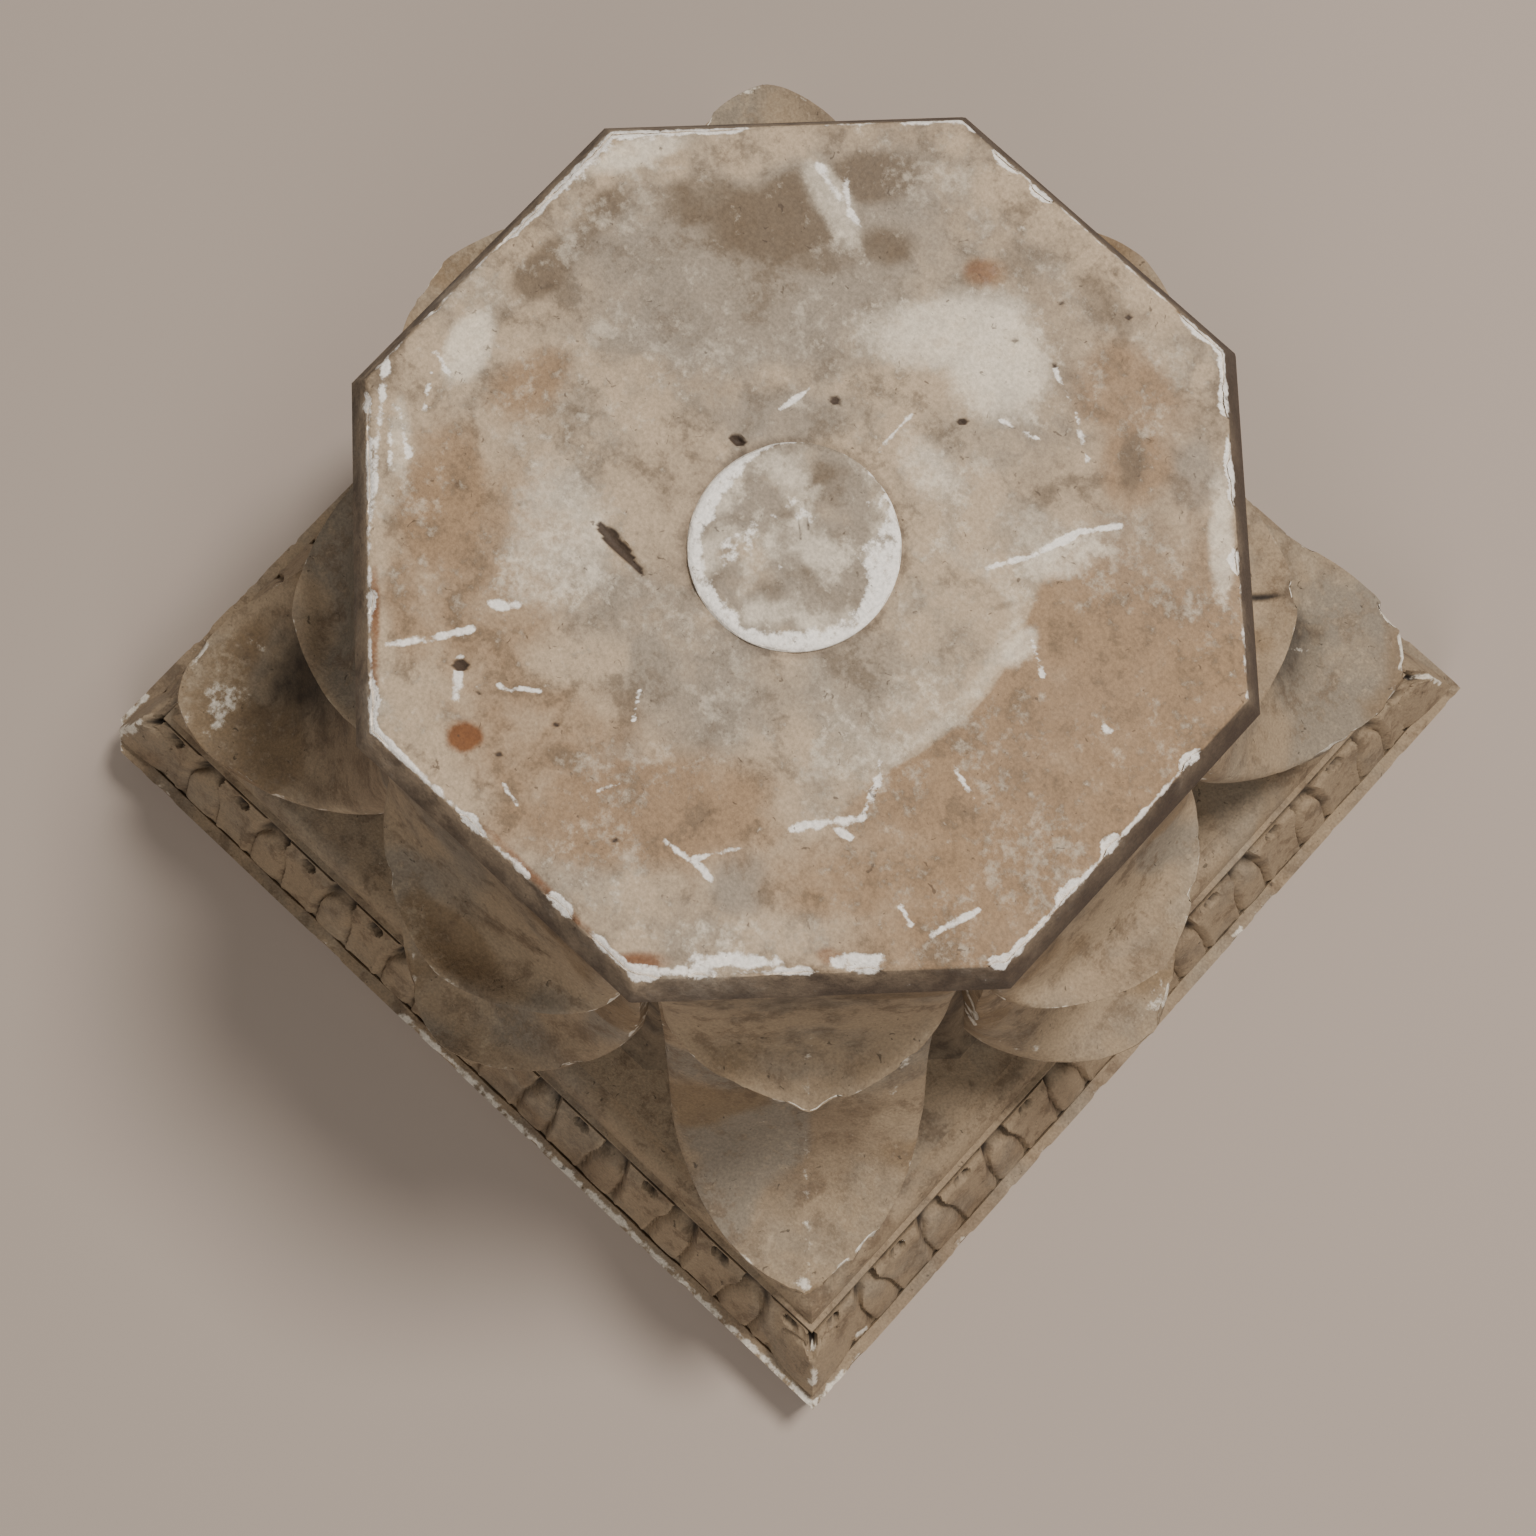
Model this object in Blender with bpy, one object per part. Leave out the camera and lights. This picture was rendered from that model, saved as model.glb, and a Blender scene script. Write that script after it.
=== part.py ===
"""Plaster capital, lying upside down on its square abacus.

Metres, +Z up. The origin is the middle of the abacus bed, which lies at z = 0.
The abacus sides run along X and Y. The octagonal neck bed is on top. Two tiers
of plain leaves hang from the neck band and turn their lips up over the abacus.
"""

import math

import bmesh
import bpy
from mathutils import Matrix, Vector

# Driving sizes of the whole cast
ABACUS_SIDE = 0.420
HEIGHT = 0.347  # abacus bed to neck bed
NECK_SIDES = 8

# Abacus, from its outer edge inwards and up to the soffit
FILLET_WIDTH = 0.005
FILLET_HEIGHT = 0.033
GROOVE_WIDTH = 0.0015
GROOVE_DEPTH = 0.0015
BAND_WIDTH = 0.017  # carved slope, in plan
BAND_HEIGHT = 0.036
BAND_SWELL = 0.0010  # how far the slope bulges halfway up
INNER_FILLET_WIDTH = 0.0035
COVE_WIDTH = 0.0075
COVE_HEIGHT = 0.0095
SOFFIT_FILLET_WIDTH = 0.0045
SOFFIT_STEP = 0.0045

# Carving of the band
TONGUES_PER_SIDE = 9
CORNER_LEAF = 0.034  # each way from the mitre
TONGUE_RELIEF = 0.0048
DART_RELIEF = 0.0032
TONGUE_SHARE = 0.36  # half width, as a share of the spacing
DART_SHARE = 0.115
COLUMN_PHASES = (0.0, 0.12, 0.23, 0.40, 0.60, 0.77, 0.88)  # from one dart to the next
BAND_ROWS = 5

# Old breaks: how much is missing along the diagonal at each corner that has one
CORNER_BREAKS = {"left": 0.004, "back": 0.012}
CORNER_WAYS = {"left": (-1, -1), "back": (-1, 1)}
BREAK_LEAN = math.radians(6)
BREAK_WIDTH = 0.200

# Neck
BED_FLATS = 0.267
BAND_FLATS = 0.280
NECK_BAND_HEIGHT = 0.0125
DISC_RADIUS = 0.033
DISC_RISE = 0.0015
DISC_CENTRE = (0.0, -0.004)

# Bell behind the leaves: height above the soffit and distance from the axis
BELL_FOOT = 0.158
BELL_WAIST = 0.131
BELL_WAIST_HEIGHT = 0.115

# Leaves, measured from the axis: reach is the tip, spring is how far beyond the root
# the rounded end begins, slip shifts a leaf sideways, roundness is the exponent of its
# arch, and droop is how far its sides come down to the level of its tip, from 0 to 1
SHORT_TIER = {
    "root": 0.1365,
    "low": 0.2340,
    "wedge_gap": 0.0006,
    "corner": {
        "reach": 0.1760, "spring": 0.0035, "half_width": 0.0502, "slip": -0.0042,
        "roundness": 1.52, "droop": 0.60,
    },
    "side": {
        "reach": 0.1777, "spring": 0.0045, "half_width": 0.0530, "slip": -0.0037,
        "roundness": 1.55, "droop": 0.60,
    },
    # Leaves that differ from the others, by their number from +X
    "by_hand": {
        "leaf_0": {"half_width": 0.0488, "slip": -0.0058},
        "leaf_7": {"reach": 0.1738, "half_width": 0.0480, "slip": -0.0024},
    },
}
LONG_TIER = {
    "root": 0.1345,
    "low": 0.1220,
    "wedge_gap": 0.0011,
    "corner": {
        "reach": 0.2440, "spring": 0.0125, "half_width": 0.0550, "slip": 0.0,
        "roundness": 1.75, "droop": 0.42,
    },
    "side": {
        "reach": 0.2010, "spring": 0.0095, "half_width": 0.0560, "slip": 0.0010,
        "roundness": 1.65, "droop": 0.42,
    },
    "by_hand": {
        "leaf_0": {"spring": 0.0135, "half_width": 0.0495, "slip": -0.0095, "droop": 0.85},
        "leaf_1": {"reach": 0.2465, "half_width": 0.0565, "slip": -0.0020},
        "leaf_5": {"reach": 0.2421, "slip": 0.0037},
        "leaf_7": {"reach": 0.2410, "spring": 0.0315, "half_width": 0.0475, "slip": -0.0042},
    },
}
LIP_RISE = 0.0145
LIP_START = 0.62  # share of the leaf below which the lip begins to turn up
LIP_THICKNESS = 0.0050
LEAF_BACK_INSET = 0.020  # from the root's face into the bell
LEAF_BODY = 0.011  # extra thickness halfway down a long leaf
LEAF_COLUMNS = 10
LEAF_ROWS = 6

OVERLAP = 0.004  # how far joined shapes run into each other
FLAT_ANGLE = math.radians(0.05)  # faces that meet flatter than this are one face
SHARP_ANGLE = math.radians(35)

HALF_SIDE = ABACUS_SIDE / 2
BAND_OUTER = FILLET_WIDTH + GROOVE_WIDTH
BAND_INNER = BAND_OUTER + BAND_WIDTH
BAND_TOP = FILLET_HEIGHT + BAND_HEIGHT
COVE_OUTER = BAND_INNER + INNER_FILLET_WIDTH
COVE_INNER = COVE_OUTER + COVE_WIDTH
SOFFIT_EDGE = COVE_INNER + SOFFIT_FILLET_WIDTH
INNER_FILLET_Z = BAND_TOP + GROOVE_DEPTH
COVE_TOP = INNER_FILLET_Z + COVE_HEIGHT
SOFFIT_Z = COVE_TOP + SOFFIT_STEP
SPACING = (ABACUS_SIDE - 2 * CORNER_LEAF) / TONGUES_PER_SIDE
BAND_SLOPE = math.atan2(BAND_HEIGHT, BAND_WIDTH)
HALF_ANGLE = math.pi / NECK_SIDES
BAND_FOOT_Z = HEIGHT - NECK_BAND_HEIGHT


def clear_scene():
    for found in list(bpy.data.objects):
        bpy.data.objects.remove(found)


def plaster_material():
    material = bpy.data.materials.new("aged_plaster")
    material.use_nodes = True
    shader = material.node_tree.nodes["Principled BSDF"]
    shader.inputs["Base Color"].default_value = (0.30, 0.245, 0.18, 1.0)
    shader.inputs["Roughness"].default_value = 0.85
    shader.inputs["Metallic"].default_value = 0.0
    return material


def make_object(name, mesh_maker):
    """An object whose mesh is filled in by mesh_maker(bm), with its faces out.

    Its faces end as triangles, so that every join cuts truly flat faces.
    """
    mesh = bpy.data.meshes.new(name)
    bm = bmesh.new()
    mesh_maker(bm)
    bmesh.ops.recalc_face_normals(bm, faces=bm.faces)
    bmesh.ops.dissolve_limit(bm, angle_limit=FLAT_ANGLE, verts=bm.verts, edges=bm.edges)
    bmesh.ops.triangulate(bm, faces=bm.faces)
    bm.to_mesh(mesh)
    bm.free()
    made = bpy.data.objects.new(name, mesh)
    bpy.context.collection.objects.link(made)
    return made


def stack_rings(bm, rings):
    """A closed body from rings of points with as many points each, capped at both ends."""
    loops = [[bm.verts.new(point) for point in ring] for ring in rings]
    for lower, upper in zip(loops, loops[1:]):
        count = len(lower)
        for i in range(count):
            j = (i + 1) % count
            bm.faces.new((lower[i], lower[j], upper[j], upper[i]))
    bm.faces.new(list(reversed(loops[0])))
    bm.faces.new(loops[-1])


def smooth_step(value):
    value = min(1.0, max(0.0, value))
    return value * value * (3 - 2 * value)


def side_columns():
    """Places along one side of the abacus, at its outer edge, without the last corner."""
    near = [CORNER_LEAF * share for share in (0.0, 0.24, 0.48, 0.74)]
    middle = []
    for i in range(TONGUES_PER_SIDE):
        middle += [CORNER_LEAF + SPACING * (i + phase) for phase in COLUMN_PHASES]
    far = [ABACUS_SIDE - place for place in [CORNER_LEAF] + near[:0:-1]]
    return [place - HALF_SIDE for place in near + middle + far]


def place_at_inset(place, inset):
    """Slides a place near a corner so that it stays short of the mitre at this inset."""
    straight = HALF_SIDE - CORNER_LEAF
    if abs(place) <= straight:
        return place
    share = (abs(place) - straight) / CORNER_LEAF
    return math.copysign(straight + share * (CORNER_LEAF - inset), place)


def tongue_height(place, row):
    """How far the carving stands out at a place along the side; row is 0 below, 1 above."""
    rising = smooth_step(row / 0.15)
    straight = HALF_SIDE - CORNER_LEAF
    if abs(place) > straight:
        share = (abs(place) - straight) / CORNER_LEAF
        width = max(0.0, share - 0.18) / 0.82
        arch = math.sqrt(max(0.0, 1 - (row / 0.97) ** 4))
        return TONGUE_RELIEF * rising * math.sqrt(width) * arch
    phase = ((place + straight) / SPACING) % 1.0 - 0.5
    share = TONGUE_SHARE * math.sqrt(max(0.0, 1 - (row / 0.92) ** 4))
    tongue = 0.0
    if share > 0 and abs(phase) < share:
        tongue = TONGUE_RELIEF * math.sqrt(1 - (phase / share) ** 2)
    dart_share = DART_SHARE * (1 - 0.4 * row)
    dart = DART_RELIEF * max(0.0, 1 - (0.5 - abs(phase)) / dart_share)
    return rising * max(tongue, dart * (1 - row**6))


def band_point(place, row):
    """(place along the side, inset, z) of the carved slope."""
    out = tongue_height(place, row) + BAND_SWELL * math.sin(math.pi * row)
    inset = BAND_OUTER + BAND_WIDTH * row - out * math.sin(BAND_SLOPE)
    z = FILLET_HEIGHT + BAND_HEIGHT * row + out * math.cos(BAND_SLOPE)
    return place_at_inset(place, inset), inset, z


def plain_line(columns, inset, z):
    """An uncarved line of the moulding, its places drawn in evenly to the mitres."""
    share = (HALF_SIDE - inset) / HALF_SIDE
    return [(place * share, inset, z) for place in columns]


def abacus_rings():
    """One ring of points round the abacus for each line of its moulding."""
    plain = [
        (0.0, 0.0),
        (0.0, FILLET_HEIGHT),
        (FILLET_WIDTH, FILLET_HEIGHT),
        (FILLET_WIDTH + GROOVE_WIDTH / 2, FILLET_HEIGHT - GROOVE_DEPTH),
    ]
    above = [
        (BAND_INNER + GROOVE_DEPTH, BAND_TOP - GROOVE_DEPTH),
        (BAND_INNER + GROOVE_DEPTH, INNER_FILLET_Z),
        (COVE_OUTER, INNER_FILLET_Z),
        (COVE_OUTER + COVE_WIDTH * 0.3, INNER_FILLET_Z + COVE_HEIGHT * 0.65),
        (COVE_INNER, COVE_TOP),
        (SOFFIT_EDGE, COVE_TOP),
        (SOFFIT_EDGE, SOFFIT_Z),
    ]
    columns = side_columns()
    lines = [plain_line(columns, inset, z) for inset, z in plain]
    rows = [i / BAND_ROWS for i in range(BAND_ROWS + 1)]
    lines += [[band_point(place, row) for place in columns] for row in rows]
    lines += [plain_line(columns, inset, z) for inset, z in above]
    rings = []
    for line in lines:
        ring = []
        for quarter in range(4):
            turn = Matrix.Rotation(quarter * math.pi / 2, 3, "Z")
            ring += [turn @ Vector((x, inset - HALF_SIDE, z)) for x, inset, z in line]
        rings.append(ring)
    return rings


def make_abacus():
    return make_object("plaster_capital", lambda bm: stack_rings(bm, abacus_rings()))


def octagon(apothem, z):
    """Corners of an octagon whose sides face X, Y and the diagonals."""
    radius = apothem / math.cos(HALF_ANGLE)
    turns = [(2 * i + 1) * HALF_ANGLE for i in range(NECK_SIDES)]
    return [Vector((radius * math.cos(a), radius * math.sin(a), z)) for a in turns]


def make_core():
    """Bell and neck band, in one turned-up stack of octagons."""
    waist_z = SOFFIT_Z + BELL_WAIST_HEIGHT
    rings = [octagon(BELL_FOOT, SOFFIT_Z - OVERLAP)]
    for i in range(1, 5):
        turn = i / 4 * math.pi / 2
        apothem = BELL_FOOT - (BELL_FOOT - BELL_WAIST) * math.sin(turn)
        rings.append(octagon(apothem, waist_z - (waist_z - SOFFIT_Z) * math.cos(turn)))
    rings.append(octagon(BELL_WAIST, BAND_FOOT_Z))
    rings.append(octagon(BAND_FLATS / 2, BAND_FOOT_Z))
    rings.append(octagon(BED_FLATS / 2, HEIGHT))
    return make_object("core_cutter", lambda bm: stack_rings(bm, rings))


def make_disc():
    def fill(bm):
        depth = OVERLAP + DISC_RISE
        middle = Vector((DISC_CENTRE[0], DISC_CENTRE[1], HEIGHT + DISC_RISE - depth / 2))
        bmesh.ops.create_cone(
            bm,
            cap_ends=True,
            segments=32,
            radius1=DISC_RADIUS,
            radius2=DISC_RADIUS,
            depth=depth,
            matrix=Matrix.Translation(middle),
        )

    return make_object("disc_cutter", fill)


def make_break(name, depth):
    """A slab that takes off a corner of the abacus, leaning back a little."""
    size = 3 * depth
    corner = CORNER_WAYS[name]

    def fill(bm):
        out = math.sqrt(2) * HALF_SIDE - depth + size / 2
        turn = Matrix.Rotation(math.atan2(corner[1], corner[0]), 4, "Z")
        lean = Matrix.Rotation(-BREAK_LEAN, 4, "Y")
        place = turn @ Matrix.Translation((out, 0, 0)) @ lean
        shape = Matrix.Diagonal((size, BREAK_WIDTH, BREAK_WIDTH, 1.0))
        bmesh.ops.create_cube(bm, size=1.0, matrix=place @ shape)

    return make_object(f"{name}_break_cutter", fill)


def arch(share, roundness):
    return max(0.0, 1 - abs(share) ** roundness) ** (1 / roundness)


def leaf_point(tier, leaf, across, down, front):
    """A point of one leaf facing +X: across runs -1 to 1, down runs 0 at the root to 1.

    The face is a scoop from upright at the root to level at the lip. Each column
    of it ends on the arch of the leaf's rounded end, where the lip turns up.
    """
    reach, root = leaf["reach"], tier["root"]
    top = BAND_FOOT_Z + OVERLAP
    spring = root + leaf["spring"]
    end = spring + (reach - spring) * arch(across, leaf["roundness"])
    last_turn = math.acos((reach - end) / (reach - root))
    turn = last_turn * down
    fall = (top - tier["low"]) * (1 + leaf["droop"] * (1 / math.sin(last_turn) - 1))
    x = reach - (reach - root) * math.cos(turn)
    z = top - fall * math.sin(turn)
    lip = smooth_step((down - LIP_START) / (1 - LIP_START)) * math.sin(last_turn)
    z += LIP_RISE * lip * down
    if not front:
        body = LEAF_BODY * math.sin(math.pi * min(1.0, down * 1.02)) ** 1.5
        sunk = LEAF_BACK_INSET * (1 - down) ** 2
        thickness = LIP_THICKNESS + body + sunk
        x -= thickness * (1 - math.sin(turn)) + 0.35 * LIP_THICKNESS * lip
        z -= thickness * math.sin(turn)
    wedge = x * math.tan(HALF_ANGLE) - tier["wedge_gap"]
    left = min(wedge, leaf["half_width"] + leaf["slip"])
    right = max(-wedge, leaf["slip"] - leaf["half_width"])
    return Vector((x, (left + right) / 2 + across * (left - right) / 2, z))


def make_leaf(bm, tier, number):
    """A thick curved plate: a grid for its back, extruded into its face."""
    leaf = {**tier["corner" if number % 2 else "side"], **tier["by_hand"].get(f"leaf_{number}", {})}
    part = bmesh.new()
    bmesh.ops.create_grid(part, x_segments=LEAF_COLUMNS, y_segments=LEAF_ROWS, size=1.0)
    extruded = bmesh.ops.extrude_face_region(part, geom=part.faces[:])
    moved = [item for item in extruded["geom"] if isinstance(item, bmesh.types.BMVert)]
    bmesh.ops.translate(part, verts=moved, vec=(0, 0, 1))
    turn = Matrix.Rotation(number * 2 * HALF_ANGLE, 3, "Z")
    for vert in part.verts:
        across, down, front = vert.co.x, (vert.co.y + 1) / 2, vert.co.z > 0.5
        across = math.sin(across * math.pi / 2)
        vert.co = turn @ leaf_point(tier, leaf, across, down, front)
    mesh = bpy.data.meshes.new("leaf")
    part.to_mesh(mesh)
    part.free()
    bm.from_mesh(mesh)
    bpy.data.meshes.remove(mesh)


def make_tier(name, tier):
    def fill(bm):
        for number in range(NECK_SIDES):
            make_leaf(bm, tier, number)

    return make_object(name, fill)


def combine(body, other, operation):
    change = body.modifiers.new(other.name, "BOOLEAN")
    change.operation = operation
    change.solver = "EXACT"
    change.object = other
    other.hide_render = True
    other.display_type = "WIRE"


def finish_cast(body):
    """Bakes the joins into the body's mesh and shades its round faces smooth."""
    depsgraph = bpy.context.evaluated_depsgraph_get()
    mesh = bpy.data.meshes.new_from_object(body.evaluated_get(depsgraph))
    body.modifiers.clear()
    body.data = mesh
    mesh.shade_smooth()
    mesh.set_sharp_from_angle(angle=SHARP_ANGLE)


def main():
    clear_scene()
    capital = make_abacus()
    capital.data.materials.append(plaster_material())
    for name, depth in CORNER_BREAKS.items():
        combine(capital, make_break(name, depth), "DIFFERENCE")
    combine(capital, make_core(), "UNION")
    combine(capital, make_tier("long_leaves_cutter", LONG_TIER), "UNION")
    combine(capital, make_tier("short_leaves_cutter", SHORT_TIER), "UNION")
    combine(capital, make_disc(), "UNION")
    finish_cast(capital)


main()
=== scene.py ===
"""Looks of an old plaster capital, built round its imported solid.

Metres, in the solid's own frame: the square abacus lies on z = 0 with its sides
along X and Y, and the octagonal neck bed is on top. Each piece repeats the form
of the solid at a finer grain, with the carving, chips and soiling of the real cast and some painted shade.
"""

import math

import bmesh
import bpy
import numpy as np
from mathutils import Matrix, Vector


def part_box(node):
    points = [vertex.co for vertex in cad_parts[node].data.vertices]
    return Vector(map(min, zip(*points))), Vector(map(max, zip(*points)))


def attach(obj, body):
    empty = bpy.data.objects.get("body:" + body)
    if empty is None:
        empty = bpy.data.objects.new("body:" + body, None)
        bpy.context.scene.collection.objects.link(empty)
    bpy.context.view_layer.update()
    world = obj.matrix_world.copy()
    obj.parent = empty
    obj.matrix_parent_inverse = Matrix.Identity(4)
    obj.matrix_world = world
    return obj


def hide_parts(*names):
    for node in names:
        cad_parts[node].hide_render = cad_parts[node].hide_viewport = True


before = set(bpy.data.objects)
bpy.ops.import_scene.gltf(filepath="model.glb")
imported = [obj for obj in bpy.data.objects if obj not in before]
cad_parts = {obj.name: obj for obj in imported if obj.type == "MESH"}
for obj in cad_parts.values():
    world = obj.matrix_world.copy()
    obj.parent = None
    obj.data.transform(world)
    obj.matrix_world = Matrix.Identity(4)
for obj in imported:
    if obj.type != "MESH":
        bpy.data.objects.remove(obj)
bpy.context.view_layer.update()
NODE = "plaster_capital"
LOW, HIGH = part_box(NODE)

# Whole cast
ABACUS_SIDE = HIGH.x - LOW.x
DISC_RISE = 0.0015
HEIGHT = HIGH.z - DISC_RISE
HALF_SIDE = ABACUS_SIDE / 2
NECK_SIDES = 8
HALF_ANGLE = math.pi / NECK_SIDES

# Abacus moulding, from its outer edge inwards and up to the soffit
FILLET_WIDTH = 0.005
FILLET_HEIGHT = 0.033
ARRIS_DEPTH = 0.006
GROOVE_WIDTH = 0.0015
GROOVE_DEPTH = 0.0015
BAND_WIDTH = 0.017
BAND_HEIGHT = 0.036
INNER_FILLET_WIDTH = 0.0035
COVE_WIDTH = 0.0075
COVE_HEIGHT = 0.0095
SOFFIT_FILLET_WIDTH = 0.0045
SOFFIT_STEP = 0.0045
BAND_OUTER = FILLET_WIDTH + GROOVE_WIDTH
BAND_INNER = BAND_OUTER + BAND_WIDTH
BAND_TOP = FILLET_HEIGHT + BAND_HEIGHT
BAND_LENGTH = math.hypot(BAND_WIDTH, BAND_HEIGHT)
BAND_SLOPE = math.atan2(BAND_HEIGHT, BAND_WIDTH)
COVE_OUTER = BAND_INNER + INNER_FILLET_WIDTH
COVE_INNER = COVE_OUTER + COVE_WIDTH
SOFFIT_EDGE = COVE_INNER + SOFFIT_FILLET_WIDTH
INNER_FILLET_Z = BAND_TOP + GROOVE_DEPTH
COVE_TOP = INNER_FILLET_Z + COVE_HEIGHT
SOFFIT_Z = COVE_TOP + SOFFIT_STEP

# Leaf and tongue carving of the band
TONGUES_PER_SIDE = 9
CORNER_LEAF = 0.034
STRAIGHT = HALF_SIDE - CORNER_LEAF
SPACING = 2 * STRAIGHT / TONGUES_PER_SIDE
TONGUE_HALF_WIDTH = 0.0082
TONGUE_RELIEF = 0.0024
TONGUE_SPRING = 0.40  # share of the band's slope where the round end begins
TONGUE_END = 0.83
GROOVE_RELIEF = 0.0011
CRESCENT_DEPTH = 0.0040
LEAF_RELIEF = 0.0017
HOLE_DEPTH = 0.0050
HOLE_LENGTH = 0.0036  # from its middle
HOLE_WIDTH = 0.0024
HOLE_ROW = 0.90
EYE_RIM = 0.0012
EYE_DEPTH = 0.0060
CORNER_GROOVE = 0.0018
CORNER_RELIEF = 0.0042
CORNER_WIDTH = 0.0250  # of the corner leaf, from the mitre
CORNER_END = 0.86

# Old breaks at two corners of the abacus
CORNER_BREAKS = {(-1, -1): 0.004, (-1, 1): 0.012}
BREAK_LEAN = math.radians(6)

# Neck
BED_APOTHEM = 0.267 / 2
BAND_APOTHEM = 0.280 / 2
NECK_BAND_HEIGHT = 0.0125
BAND_FOOT_Z = HEIGHT - NECK_BAND_HEIGHT
DISC_RADIUS = 0.033
DISC_CENTRE = (0.0, -0.004)

# Bell
BELL_FOOT = 0.158
BELL_WAIST = 0.131
BELL_WAIST_HEIGHT = 0.115

# Leaves, measured from the axis as in the solid
OVERLAP = 0.004
SHORT_TIER = {
    "root": 0.1365,
    "low": 0.2340,
    "wedge_gap": 0.0006,
    "corner": {
        "reach": 0.1760, "spring": 0.0035, "half_width": 0.0502, "slip": -0.0042,
        "roundness": 1.52, "droop": 0.60,
    },
    "side": {
        "reach": 0.1777, "spring": 0.0045, "half_width": 0.0530, "slip": -0.0037,
        "roundness": 1.55, "droop": 0.60,
    },
    "by_hand": {
        "leaf_0": {"half_width": 0.0488, "slip": -0.0058},
        "leaf_7": {"reach": 0.1738, "half_width": 0.0480, "slip": -0.0024},
    },
}
LONG_TIER = {
    "root": 0.1345,
    "low": 0.1220,
    "wedge_gap": 0.0011,
    "corner": {
        "reach": 0.2440, "spring": 0.0125, "half_width": 0.0550, "slip": 0.0,
        "roundness": 1.75, "droop": 0.42,
    },
    "side": {
        "reach": 0.2010, "spring": 0.0095, "half_width": 0.0560, "slip": 0.0010,
        "roundness": 1.65, "droop": 0.42,
    },
    "by_hand": {
        "leaf_0": {"spring": 0.0135, "half_width": 0.0495, "slip": -0.0095, "droop": 0.85},
        "leaf_1": {"reach": 0.2465, "half_width": 0.0565, "slip": -0.0020},
        "leaf_5": {"reach": 0.2421, "slip": 0.0037},
        "leaf_7": {"reach": 0.2410, "spring": 0.0315, "half_width": 0.0475, "slip": -0.0042},
    },
}
LIP_RISE = 0.0145
LIP_START = 0.62
LIP_THICKNESS = 0.0050
LEAF_BACK_INSET = 0.020
LEAF_BODY = 0.011

# Fineness of the meshes
BED_GRAIN = 0.0010
LEAF_COLUMNS = 60
LONG_LEAF_ROWS = 88
SHORT_LEAF_ROWS = 66
LEAF_LAYERS = 3
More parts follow.
